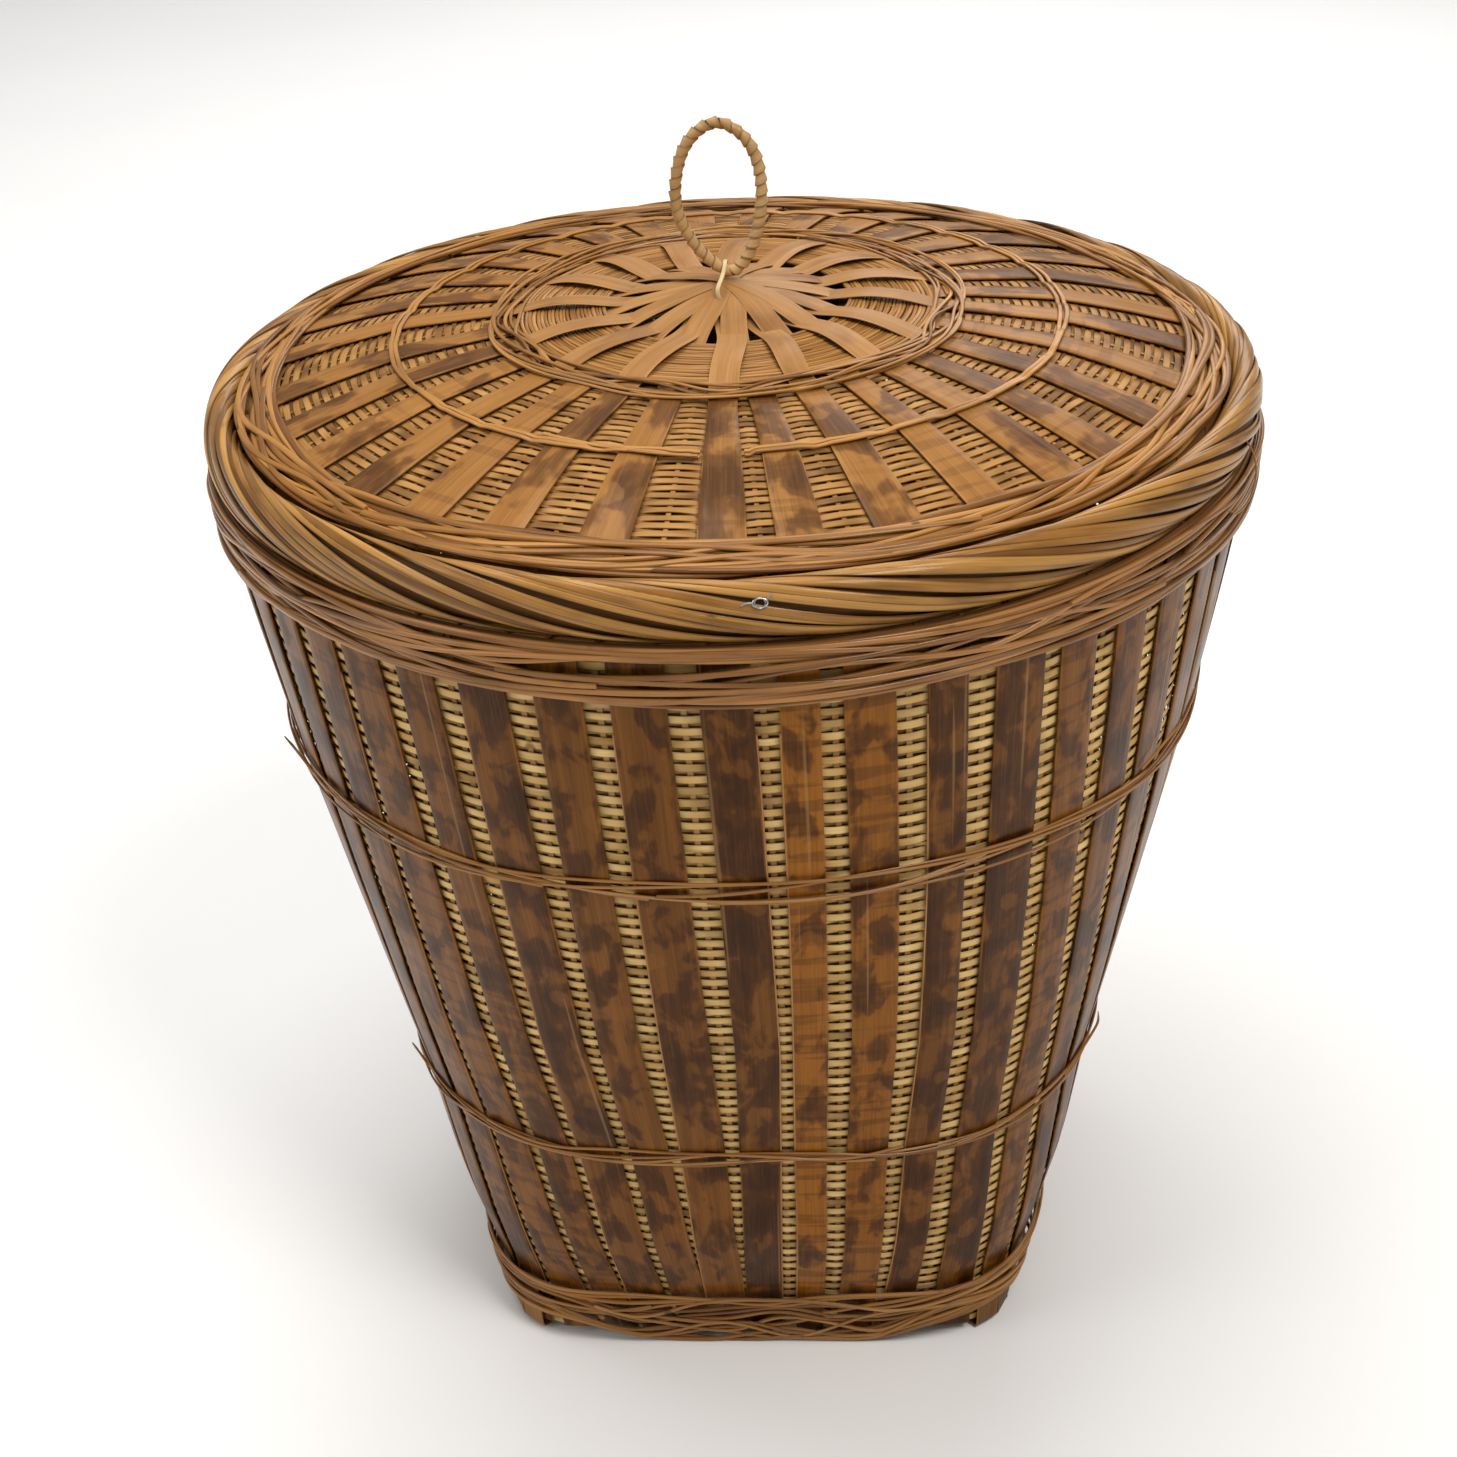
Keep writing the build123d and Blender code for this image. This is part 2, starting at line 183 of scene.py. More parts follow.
class Bundle:
    """Strips swept along lines, gathered into one mesh. All sizes in millimetres."""

    def __init__(self):
        self.v, self.f, self.uv, self.tint, self.n = [], [], [], [], 0

    def strip(self, pts, normal, width, thick, prof, closed=False, tint=None, v0=None):
        pts = np.asarray(pts, float)
        m, k = len(pts), len(prof)
        prof = np.asarray(prof, float)
        normal = np.broadcast_to(np.asarray(normal, float), pts.shape)
        t = (np.roll(pts, -1, 0) - np.roll(pts, 1, 0)) if closed else np.gradient(pts, axis=0)
        t /= np.linalg.norm(t, axis=1, keepdims=True)
        w = np.cross(normal, t)
        w /= np.linalg.norm(w, axis=1, keepdims=True)
        n = np.cross(t, w)
        width = np.broadcast_to(np.asarray(width, float), (m,))
        thick = np.broadcast_to(np.asarray(thick, float), (m,))
        v = (
            pts[:, None, :]
            + w[:, None, :] * (prof[None, :, 0] * width[:, None])[..., None]
            + n[:, None, :] * (prof[None, :, 1] * thick[:, None])[..., None]
        )
        step = np.linalg.norm(np.diff(pts, axis=0, append=pts[:1]), axis=1)
        along = (RNG.uniform(0, 900) if v0 is None else v0) + np.concatenate([[0.0], np.cumsum(step)])
        i = np.arange(m if closed else m - 1)
        j = np.arange(k)
        ii, jj = np.meshgrid(i, j, indexing="ij")
        i2, j2 = (ii + 1) % m, (jj + 1) % k
        quads = np.stack([ii * k + jj, ii * k + j2, i2 * k + j2, i2 * k + jj], -1).reshape(-1, 4) + self.n
        u1, u2 = prof[jj, 0] * width[ii], prof[j2, 0] * width[ii]
        u3, u4 = prof[j2, 0] * width[i2], prof[jj, 0] * width[i2]
        uv = np.stack([
            np.stack([u1, along[ii]], -1), np.stack([u2, along[ii]], -1),
            np.stack([u3, along[ii + 1]], -1), np.stack([u4, along[ii + 1]], -1),
        ], 2).reshape(-1, 2)
        self.f.append((quads.ravel(), np.full(len(quads), 4)))
        self.uv.append(uv)
        if not closed:
            for ring, order in ((0, j[::-1]), (m - 1, j)):
                self.f.append((ring * k + order + self.n, np.array([k])))
                self.uv.append(np.stack([prof[order, 0] * width[ring], np.full(k, along[ring])], -1))
        tint = RNG.uniform(0, 1, 3) if tint is None else np.asarray(tint, float)
        tint = np.broadcast_to(tint, (m, 3))
        col = np.empty((m, k, 4))
        col[..., :3] = tint[:, None, :]
        col[..., 3] = prof[None, :, 0] + 0.5
        self.v.append(v.reshape(-1, 3))
        self.tint.append(col.reshape(-1, 4))
        self.n += m * k

    def lathe(self, pts, prof_rz, closed_prof=True, tint=(0.5, 0.5, 0.5)):
        """A ring turned about Z: prof_rz is a closed outline of radius and height, anticlockwise."""
        m, k = pts, len(prof_rz)
        a = np.arange(m) * TAU / m
        rz = np.asarray(prof_rz, float)
        v = np.stack([
            rz[None, :, 0] * np.cos(a)[:, None], rz[None, :, 0] * np.sin(a)[:, None],
            np.broadcast_to(rz[None, :, 1], (m, k)),
        ], -1)
        i, j = np.meshgrid(np.arange(m), np.arange(k), indexing="ij")
        i2, j2 = (i + 1) % m, (j + 1) % k
        quads = np.stack([i * k + j, i2 * k + j, i2 * k + j2, i * k + j2], -1).reshape(-1, 4) + self.n
        per = np.concatenate([[0], np.cumsum(np.linalg.norm(np.roll(rz, -1, 0) - rz, axis=1))])
        rad = rz[:, 0].mean()
        uv = np.stack([
            np.stack([per[j], a[i] * rad], -1), np.stack([per[j], (i + 1) * TAU / m * rad], -1),
            np.stack([per[j + 1], (i + 1) * TAU / m * rad], -1), np.stack([per[j + 1], a[i] * rad], -1),
        ], 2).reshape(-1, 2)
        self.f.append((quads.ravel(), np.full(len(quads), 4)))
        self.uv.append(uv)
        col = np.empty((m * k, 4))
        col[:, :3], col[:, 3] = tint, 0.5
        self.v.append(v.reshape(-1, 3))
        self.tint.append(col)
        self.n += m * k

    def build(self, name, material, body, slot, *nodes, sharp=40.0):
        me = bpy.data.meshes.new(name)
        v = np.concatenate(self.v) * MM
        loops = np.concatenate([f[0] for f in self.f]).astype(np.int32)
        total = np.concatenate([f[1] for f in self.f]).astype(np.int32)
        me.vertices.add(len(v))
        me.vertices.foreach_set("co", v.astype(np.float32).ravel())
        me.loops.add(len(loops))
        me.loops.foreach_set("vertex_index", loops)
        me.polygons.add(len(total))
        me.polygons.foreach_set("loop_start", np.concatenate([[0], np.cumsum(total)[:-1]]).astype(np.int32))
        me.update(calc_edges=True)
        uv = me.uv_layers.new(name="strip")
        uv.data.foreach_set("uv", (np.concatenate(self.uv) * MM).astype(np.float32).ravel())
        col = me.color_attributes.new("tint", "FLOAT_COLOR", "POINT")
        col.data.foreach_set("color", np.concatenate(self.tint).astype(np.float32).ravel())
        me.polygons.foreach_set("use_smooth", np.ones(len(total), bool))
        me.set_sharp_from_angle(angle=math.radians(sharp))
        me.materials.append(material)
        me.validate()
        ob = bpy.data.objects.new(name, me)
        SCENE.collection.objects.link(ob)
        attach(ob, body)
        if nodes:
            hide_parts(*nodes)
        return ob


# ----------------------------------------------------------------- materials
def rgb(r, g, b):
    """A colour given as 0-255 display values, as linear light."""
    def lin(c):
        c /= 255.0
        return c / 12.92 if c <= 0.04045 else ((c + 0.055) / 1.055) ** 2.4
    return (lin(r), lin(g), lin(b), 1.0)


class Mat:
    def __init__(self, name, rough=0.5, coat=0.0, coat_rough=0.14, spec=0.16):
        self.m = bpy.data.materials.new(name)
        self.m.use_nodes = True
        self.t = self.m.node_tree
        self.t.nodes.clear()
        self.b = self.t.nodes.new("ShaderNodeBsdfPrincipled")
        out = self.t.nodes.new("ShaderNodeOutputMaterial")
        self.t.links.new(self.b.outputs[0], out.inputs[0])
        self.b.inputs["Roughness"].default_value = rough
        self.b.inputs["Coat Weight"].default_value = coat
        self.b.inputs["Coat Roughness"].default_value = coat_rough
        self.b.inputs["Specular IOR Level"].default_value = spec
        self.b.inputs["Specular Tint"].default_value = (1.0, 0.74, 0.48, 1.0)
        self.b.inputs["Coat Tint"].default_value = (1.0, 0.92, 0.80, 1.0)

    def put(self, sock, value):
        if isinstance(value, bpy.types.NodeSocket):
            self.t.links.new(value, sock)
        else:
            sock.default_value = value

    def node(self, kind, **sockets):
        n = self.t.nodes.new(kind)
        for k, v in sockets.items():
            self.put(n.inputs[k.replace("_", " ")], v)
        return n

    def math(self, op, a, b=0.0, clamp=False):
        n = self.t.nodes.new("ShaderNodeMath")
        n.operation, n.use_clamp = op, clamp
        self.put(n.inputs[0], a)
        self.put(n.inputs[1], b)
        return n.outputs[0]

    def mix(self, fac, a, b, mode="MIX"):
        n = self.t.nodes.new("ShaderNodeMix")
        n.data_type, n.blend_type = "RGBA", mode
        n.clamp_factor = True
        self.put(n.inputs[0], fac)
        self.put(n.inputs[6], a)
        self.put(n.inputs[7], b)
        return n.outputs[2]

    def step(self, x, lo, hi):
        n = self.t.nodes.new("ShaderNodeMapRange")
        n.interpolation_type = "SMOOTHSTEP"
        self.put(n.inputs[0], x)
        n.inputs[1].default_value, n.inputs[2].default_value = lo, hi
        return n.outputs[0]

    def strip_coords(self):
        """Across and along the strip in metres, and three numbers of the strip: chance, except that the second also
        carries painted shade on recessed weave rows.
        """
        uv = self.t.nodes.new("ShaderNodeUVMap")
        uv.uv_map = "strip"
        s = self.t.nodes.new("ShaderNodeSeparateXYZ")
        self.t.links.new(uv.outputs[0], s.inputs[0])
        at = self.t.nodes.new("ShaderNodeAttribute")
        at.attribute_name = "tint"
        c = self.t.nodes.new("ShaderNodeSeparateColor")
        self.t.links.new(at.outputs["Color"], c.inputs[0])
        self.u, self.v = s.outputs[0], s.outputs[1]
        self.r1, self.r2, self.r3 = c.outputs[0], c.outputs[1], c.outputs[2]
        self.side = at.outputs["Alpha"]

    def vec(self, su, sv, seed=37.0, add=0.0):
        n = self.t.nodes.new("ShaderNodeCombineXYZ")
        self.put(n.inputs[0], self.math("MULTIPLY", self.u, su))
        self.put(n.inputs[1], self.math("MULTIPLY", self.v, sv))
        self.put(n.inputs[2], self.math("ADD", self.math("MULTIPLY", self.r3, seed), add))
        return n.outputs[0]

    def noise(self, vec, detail=3.0, rough=0.5, dist=0.0, scale=1.0):
        n = self.node("ShaderNodeTexNoise", Vector=vec, Scale=scale, Detail=detail, Roughness=rough, Distortion=dist)
        return n.outputs[0]

    def bump(self, height, strength, dist=0.0006, normal=None):
        n = self.node("ShaderNodeBump", Height=height, Strength=strength, Distance=dist)
        if normal is not None:
            self.put(n.inputs["Normal"], normal)
        return n.outputs[0]


def bamboo(name, dark, base, light, patch=34.0, cover=0.5, soft=0.06, spots=0.6, tone=0.5,
           rough=0.42, coat=0.25, gold=None, lines=0.35, grain=0.5, bands=0.0):
    """Flat split bamboo: long grain, tortoiseshell blotches, pale rings and scratches."""
    m = Mat(name, coat=coat, coat_rough=0.13, spec=0.12)
    m.strip_coords()
    fine = m.noise(m.vec(950.0, 22.0), 4.0, 0.6)
    broad = m.noise(m.vec(210.0, 5.0, add=3.0), 2.0, 0.5)
    # Blotches with fairly crisp edges, stretched along the strip.
    warp = m.noise(m.vec(90.0, 60.0, add=9.0), 2.0, 0.5)
    blot = m.noise(m.vec(patch * 1.25, patch * 0.72, add=17.0), 3.0, 0.52, 0.35)
    edge = m.math("ADD", blot, m.math("MULTIPLY", m.math("SUBTRACT", warp, 0.5), 0.16))
    edge = m.math("ADD", edge, m.math("MULTIPLY", m.math("SUBTRACT", m.r3, 0.5), 0.20))
    is_dark = m.step(edge, cover - soft, cover + soft)
    deep = m.step(edge, cover + 0.07, cover + 0.07 + 2 * soft)
    vor = m.t.nodes.new("ShaderNodeTexVoronoi")
    vor.feature = "F1"
    m.put(vor.inputs["Vector"], m.vec(62.0, 52.0, add=5.0))
    m.put(vor.inputs["Scale"], 1.0)
    cell = m.t.nodes.new("ShaderNodeSeparateColor")
    m.t.links.new(vor.outputs["Color"], cell.inputs[0])
    dist = m.math("ADD", vor.outputs["Distance"], m.math("MULTIPLY", m.math("SUBTRACT", warp, 0.5), 0.9))
    spot = m.math("MULTIPLY", m.math("SUBTRACT", 1.0, m.step(dist, 0.24, 0.36)), m.step(cell.outputs[0], 0.52, 0.60))
    c = m.mix(m.step(broad, 0.3, 0.7), base, m.mix(0.45, base, light))
    if gold is not None:
        c = m.mix(m.step(m.r2, 0.80, 0.93), c, gold)
    c = m.mix(m.math("MULTIPLY", is_dark, 0.72), c, dark)
    c = m.mix(m.math("MULTIPLY", deep, 0.5), c, m.mix(0.5, dark, (0.012, 0.005, 0.004, 1.0)))
    if bands:
        rung = m.noise(m.vec(14.0, 150.0, add=29.0), 2.0, 0.5)
        c = m.mix(m.math("MULTIPLY", m.math("MULTIPLY", m.step(rung, 0.52, 0.6), m.step(m.r2, 0.3, 0.5)), bands), c, dark)
    c = m.mix(m.math("MULTIPLY", spot, spots), c, light)
    # Whole-strip tone, long grain and pale scratches.
    c = m.mix(m.math("MULTIPLY", m.math("SUBTRACT", 1.0, m.r1), tone), c, m.mix(1.0, c, (0.50, 0.46, 0.44, 1.0), "MULTIPLY"))
    c = m.mix(m.math("MULTIPLY", m.step(fine, 0.35, 0.72), grain * 0.55), c, m.mix(1.0, c, (0.52, 0.48, 0.46, 1.0), "MULTIPLY"))
    c = m.mix(m.math("MULTIPLY", m.step(m.math("SUBTRACT", 1.0, fine), 0.5, 0.8), grain * 0.4), c, m.mix(0.4, c, light))
    scr = m.step(m.noise(m.vec(340.0, 4.0, add=41.0), 1.0, 0.4), 0.70, 0.76)
    c = m.mix(m.math("MULTIPLY", scr, lines), c, m.mix(0.5, light, (0.62, 0.42, 0.2, 1.0)))
    rim = m.math("ABSOLUTE", m.math("SUBTRACT", m.side, 0.5))
    rimn = m.math("MULTIPLY", m.step(rim, 0.455, 0.49), m.step(m.noise(m.vec(3.0, 26.0, add=51.0), 2.0), 0.45, 0.62))
    c = m.mix(m.math("MULTIPLY", rimn, 0.55), c, light)
    m.put(m.b.inputs["Base Color"], c)
    rg = m.math("ADD", rough - 0.10, m.math("MULTIPLY", fine, 0.20))
    rg = m.math("ADD", rg, m.math("MULTIPLY", m.step(m.noise(m.vec(40.0, 25.0, add=61.0), 3.0), 0.45, 0.75), 0.12))
    m.put(m.b.inputs["Roughness"], rg)
    h = m.math("ADD", m.math("MULTIPLY", fine, 0.7), m.math("MULTIPLY", broad, 0.5))
    m.put(m.b.inputs["Normal"], m.bump(h, 0.32, 0.0005))
    return m.m


def cane(name, dark, base, light, rough=0.42, coat=0.3, tone=0.55, patchy=0.5, grain=0.5, edge_shade=0.5, bump=0.35):
    """Split cane: lengthwise fibres, stains along its length, edges darkened as painted shade between strands, an odd
    node.
    """
    m = Mat(name, coat=coat, coat_rough=0.15, spec=0.16)
    m.strip_coords()
    fine = m.noise(m.vec(1500.0, 34.0), 3.0, 0.6)
    stain = m.noise(m.vec(60.0, 13.0, add=7.0), 3.0, 0.55, 0.2)
    c = m.mix(m.r1, base, light)
    # Darker where the second number is high: a random strip tone, and on the recessed weave rows painted shade.
    c = m.mix(m.math("MULTIPLY", m.step(m.r2, 0.45, 1.0), tone), c, dark)
    c = m.mix(m.math("MULTIPLY", m.step(stain, 0.48, 0.66), patchy), c, dark)
    c = m.mix(m.math("MULTIPLY", m.step(stain, 0.50, 0.30), patchy * 0.5), c, light)
    c = m.mix(m.math("MULTIPLY", m.step(fine, 0.42, 0.75), grain * 0.7), c, m.mix(1.0, c, (0.50, 0.44, 0.40, 1.0), "MULTIPLY"))
    knot = m.step(m.noise(m.vec(30.0, 42.0, add=21.0), 1.0, 0.5), 0.735, 0.77)
    c = m.mix(m.math("MULTIPLY", knot, 0.7), c, m.mix(0.6, dark, (0.02, 0.01, 0.006, 1.0)))
    # Strand edges darkened: painted shade where neighbouring strands meet.
    rim = m.math("ABSOLUTE", m.math("SUBTRACT", m.side, 0.5))
    c = m.mix(m.math("MULTIPLY", m.step(rim, 0.34, 0.5), edge_shade), c, m.mix(0.75, c, dark))
    m.put(m.b.inputs["Base Color"], c)
    m.put(m.b.inputs["Roughness"], m.math("ADD", rough - 0.1, m.math("MULTIPLY", fine, 0.24)))
    m.put(m.b.inputs["Normal"], m.bump(m.math("ADD", fine, m.math("MULTIPLY", knot, 0.8)), bump, 0.0005))
    return m.m


M_SLAT = bamboo("bamboo_slat", rgb(58, 26, 4), rgb(110, 66, 20), rgb(148, 94, 34), gold=rgb(150, 92, 24),
                patch=58.0, cover=0.49, spots=0.34, tone=0.5, rough=0.34, coat=0.11, lines=0.26, bands=0.4, grain=0.9)
M_RIB = bamboo("bamboo_rib", rgb(84, 50, 24), rgb(150, 102, 48), rgb(174, 124, 66), patch=38.0, cover=0.52,
               soft=0.045, spots=0.30, tone=0.40, rough=0.42, coat=0.12, lines=0.10, bands=0.3, grain=0.8)
M_STAR = bamboo("bamboo_star", rgb(116, 74, 38), rgb(162, 116, 66), rgb(188, 142, 90), patch=20.0, cover=0.62,
                soft=0.12, spots=0.10, tone=0.36, rough=0.44, coat=0.08, lines=0.10, grain=0.7)
M_FOOT = bamboo("bamboo_foot", rgb(92, 60, 32), rgb(138, 98, 54), rgb(160, 118, 70), patch=22.0, cover=0.55,
                soft=0.1, spots=0.2, tone=0.4, rough=0.5, coat=0.05, lines=0.1, grain=0.7)
M_WEFT = cane("bamboo_weft", rgb(104, 68, 30), rgb(188, 146, 82), rgb(228, 194, 130), rough=0.5, coat=0.08,
              tone=0.70, patchy=0.45, grain=0.45, edge_shade=0.30, bump=0.3)
M_RUNG = cane("bamboo_rung", rgb(72, 44, 20), rgb(146, 100, 50), rgb(182, 136, 78), rough=0.5, coat=0.08,
              tone=0.75, patchy=0.5, grain=0.5, edge_shade=0.4, bump=0.3)
M_COIL = cane("cane_coil", rgb(98, 64, 30), rgb(152, 104, 52), rgb(178, 130, 72), rough=0.42, coat=0.12,
              tone=0.5, patchy=0.45, grain=0.5, edge_shade=0.8)
M_BAND = cane("cane_lid_band", rgb(90, 54, 24), rgb(146, 98, 44), rgb(182, 132, 70), rough=0.34, coat=0.28,
              tone=0.6, patchy=0.45, grain=0.6, edge_shade=0.6)
M_RIM = cane("cane_rim_band", rgb(60, 34, 16), rgb(112, 72, 36), rgb(172, 122, 70), rough=0.32, coat=0.35,
             tone=0.6, patchy=0.5, grain=0.55, edge_shade=0.65)
M_HOOP = cane("cane_hoop", rgb(84, 52, 26), rgb(138, 92, 46), rgb(172, 124, 70), rough=0.38, coat=0.18,
              tone=0.5, patchy=0.4, grain=0.55, edge_shade=0.6)
M_BORDER = cane("cane_border", rgb(82, 50, 22), rgb(146, 100, 46), rgb(188, 142, 78), rough=0.34, coat=0.28,
                tone=0.6, patchy=0.55, grain=0.7, edge_shade=0.85)
M_CORE = cane("cane_core", rgb(50, 32, 16), rgb(88, 58, 30), rgb(110, 76, 42), rough=0.6, coat=0.02, grain=0.6)
M_WRAP = cane("cane_loop_wrap", rgb(124, 88, 50), rgb(184, 146, 96), rgb(206, 170, 120), rough=0.40, coat=0.15,
              tone=0.4, patchy=0.5, grain=0.5, edge_shade=0.9)
# A darker copy of the stake colours for the stakes behind the weave: painted shade.
M_STAKE_SHADE = cane("bamboo_inner_stake_shade", rgb(70, 45, 24), rgb(118, 82, 46), rgb(146, 106, 64), rough=0.55, coat=0.03)
M_STAKE = cane("bamboo_stake", rgb(92, 66, 38), rgb(146, 112, 72), rgb(176, 140, 92), rough=0.55, coat=0.03)


def plain(name, base, dark, rough, metal=0.0, scale=900.0, coat=0.0):
    m = Mat(name, coat=coat)
    m.strip_coords()
    f = m.noise(m.vec(scale, scale * 0.06), 3.0, 0.6)
    m.put(m.b.inputs["Base Color"], m.mix(m.math("MULTIPLY", f, 0.8), base, dark))
    m.b.inputs["Metallic"].default_value = metal
    m.put(m.b.inputs["Roughness"], m.math("ADD", rough - 0.08, m.math("MULTIPLY", f, 0.16)))
    m.put(m.b.inputs["Normal"], m.bump(f, 0.3, 0.0003))
    return m.m


M_TIE = plain("tie_strip", rgb(212, 192, 150), rgb(176, 152, 108), 0.45)
M_WIRE = plain("knot_wire", rgb(200, 204, 206), rgb(120, 124, 128), 0.28, metal=0.85)

# ------------------------------------------------------------- the slat table
def all_slats():
    rows = [tuple(r) for r in SLATS_FRONT]
    left = 48 - len(rows)
    first, last = rows[0], rows[-1]
    for i in range(1, left + 1):
        k = i / (left + 1.0)
        shift = ODD_SHIFTS[i % 7]
        rows.append(tuple(last[c] + (first[c] + 360.0 - last[c]) * k + shift for c in range(3)) + (ODD_WIDTHS[i % 9],))
    return rows


ROWS = all_slats()


def row_angle(row, z):
    z = np.clip(np.asarray(z, float), 13.0, 448.0)
    a = np.interp(z, (73.0, 230.0, 418.0), (row[2], row[1], row[0]))
    a = np.where(z < 73.0, row[2] + (row[1] - row[2]) / 157.0 * (z - 73.0), a)
    a = np.where(z > 418.0, row[0] + (row[0] - row[1]) / 188.0 * (z - 418.0), a)
    return np.radians(a)


def side_of(deg):
    a = (deg + 360.0) % 360.0
    return "front" if 225 <= a < 315 else "back" if 45 <= a < 135 else "left" if 135 <= a < 225 else "right"


# ------------------------------------------------------------ body: the slats
# Chosen tints: (tone, gold, darkness) for the front slats, the rest by chance.
SLAT_TINT = {5: (0.55, 0.1, 0.35), 6: (0.5, 0.2, 0.45), 7: (0.15, 0.1, 0.85), 8: (0.8, 1.0, 0.1), 9: (0.75, 0.88, 0.25),
             10: (0.3, 0.4, 0.7), 11: (0.2, 0.3, 0.75), 12: (0.75, 0.82, 0.3), 13: (0.4, 0.3, 0.6), 4: (0.35, 0.2, 0.6),
             3: (0.6, 0.6, 0.5), 2: (0.8, 0.5, 0.3), 1: (0.6, 0.6, 0.45), 0: (0.5, 0.2, 0.6), 14: (0.5, 0.75, 0.5)}
bundles = {s: Bundle() for s in ("front", "right", "back", "left")}
slivers = Bundle()
for i, row in enumerate(ROWS):
    z = np.linspace(6.8, 464.5, 70)
    a = row_angle(row, z) + wobble(z / 100.0, 0.0010, (1.1, 2.3))
    w = np.interp(z, (0, 73, 230, 418, 470), (18.0, 18.6, 20.6, 21.6, 21.6)) * row[3] * (1 + wobble(z / 60.0, 0.008, (1, 2.7)))
    p, n = wall(a, z, 0.62 + wobble(z / 50.0, 0.10, (1, 1.9)) + 0.1)
    tint = SLAT_TINT.get(i) or tuple(RNG.uniform(0.1, 0.9, 3) * (1.0, 0.93, 1.0))
    bundles[side_of(row[1])].strip(p, n, w, 1.15, PROF_SLAT, tint=tint)
    # A pale splinter line stands along the edge of some slats.
    if i % 3 == 1 or i in (6, 8):
        s = 1.0 if i % 2 else -1.0
        q = wall(a + s * (w / 2 + 0.25) / wall_r(a, z), z, 0.9)
        sl = slice(4, -6)
        slivers.strip(q[0][sl], q[1][sl], 0.9, 1.0, PROF_CANE, tint=(0.8, 0.1, 0.5))
for s, b in bundles.items():
    b.build(f"slats_{s}", M_SLAT, "basket", "bamboo_slat", f"{s}_slats")
slivers.build("slat_edges", M_HOOP, "basket", "bamboo_slat")

# ----------------------------------------------- body: the inner weave of the wall
def warp_angles(z):
    c = [row_angle(r, z) for r in ROWS]
    out = []
    for a, b in zip(c, c[1:] + [c[0] + TAU]):
        out += [a, (a + b) / 2.0]
    return np.array(out)


pitch = 6.45
lower, upper = Bundle(), Bundle()
z0 = 7.0
count = int((465.5 - z0) / pitch)
for k in range(count + 1):
    for kind in (0, 1):
        zc = z0 + (k + 0.5 * kind) * pitch
        if zc > 464.5:
            continue
        ang = warp_angles(zc)
        ang = np.append(ang, ang[0] + TAU)
        t = np.arange(96 * 5) / 5.0
        phi = np.interp(t, np.arange(97), ang)
        sgn = -1.0 if kind == 0 else 1.0
        wave = np.cos(np.pi * t) * sgn
        wave = np.sign(wave) * np.abs(wave) ** 0.8
        zz = zc + wobble(phi, 0.22, (3, 7, 19, 31)) + RNG.uniform(-0.12, 0.12)
        off = -0.75 + 0.85 * wave - 0.25
        p, n = wall(phi, zz, off)
        # The hidden rows thin out where they dive beside each slat, which leaves small dark holes.
        near = np.abs((t + 1.0) % 2.0 - 1.0)
        base_w = 3.8 if kind == 0 else 3.3 - 1.5 * np.exp(-((near - 0.68) / 0.15) ** 2)
        width = base_w * (1 + wobble(phi, 0.06, (11, 29)))
        tone = np.stack([
            0.5 + wobble(phi, 0.45, (13, 37, 53)), 0.35 + wobble(phi, 0.4, (9, 23, 47)) + RNG.uniform(-0.2, 0.2),
            np.full_like(phi, RNG.uniform())], -1)
        tone[:, 0] = np.round(np.clip(tone[:, 0], 0, 1) * 6) / 6
        # The recessed rows get a higher second number, which darkens them: painted shade behind the front rows.
        if kind:
            tone[:, 1] += 0.55
        (lower if zc < 235 else upper).strip(p, n, width, 0.52, PROF_WEFT, closed=True, tint=np.clip(tone, 0, 1))
lower.build("weave_lower", M_WEFT, "basket", "bamboo_weft", "body_weave", sharp=50)
upper.build("weave_upper", M_WEFT, "basket", "bamboo_weft", sharp=50)

stakes = Bundle()
zz = np.linspace(8.0, 465.0, 60)
for j, a in enumerate(warp_angles(zz)):
    p, n = wall(a + wobble(zz / 80.0, 0.0012, (1, 2.2)), zz, -1.05)
    stakes.strip(p, n, 2.9 if j % 2 else 4.5, 0.5, PROF_WEFT, tint=RNG.uniform(0.2, 0.8, 3))
stakes.build("weave_warps", M_STAKE, "basket", "bamboo_tan")
# Flat stakes stand behind the weave in every gap, coloured as a darker copy of the stake material: painted shade.
backs = Bundle()
for j, a in enumerate(warp_angles(zz)):
    if j % 2:
        p, n = wall(a, zz, -2.5)
        backs.strip(p, n, 0.054 * wall_r(a, zz), 0.5, PROF_WEFT, tint=RNG.uniform(0.2, 0.8, 3))
backs.build("inner_stakes", M_STAKE_SHADE, "basket", "bamboo_tan", "weave_stakes")

# ------------------------------------------------------- body: hoops and bands
def ring_strands(b, specs, samples=420):
    """Strands laid round the wall; each spec is height, height sway, how often, offset, width, thickness."""
    for zc, amp, freqs, off, w, t, span in specs:
        closed = span is None
        a0, a1 = (0.0, TAU) if closed else (math.radians(span[0]), math.radians(span[1]))
        m = samples if closed else max(40, int(samples * (a1 - a0) / TAU))
        phi = np.linspace(a0, a1, m, endpoint=not closed)
        z = zc(phi) if callable(zc) else zc + 0 * phi
        z = z + (wobble(phi, amp, freqs))
        o = off + wobble(phi, 0.28, (5, 12, 24))
        p, n = wall(phi, z, o)
        b.strip(p, n, w * (1 + wobble(phi, 0.06, (7, 17))), t, PROF_SPLIT if w > 2.8 else PROF_CANE, closed=closed)


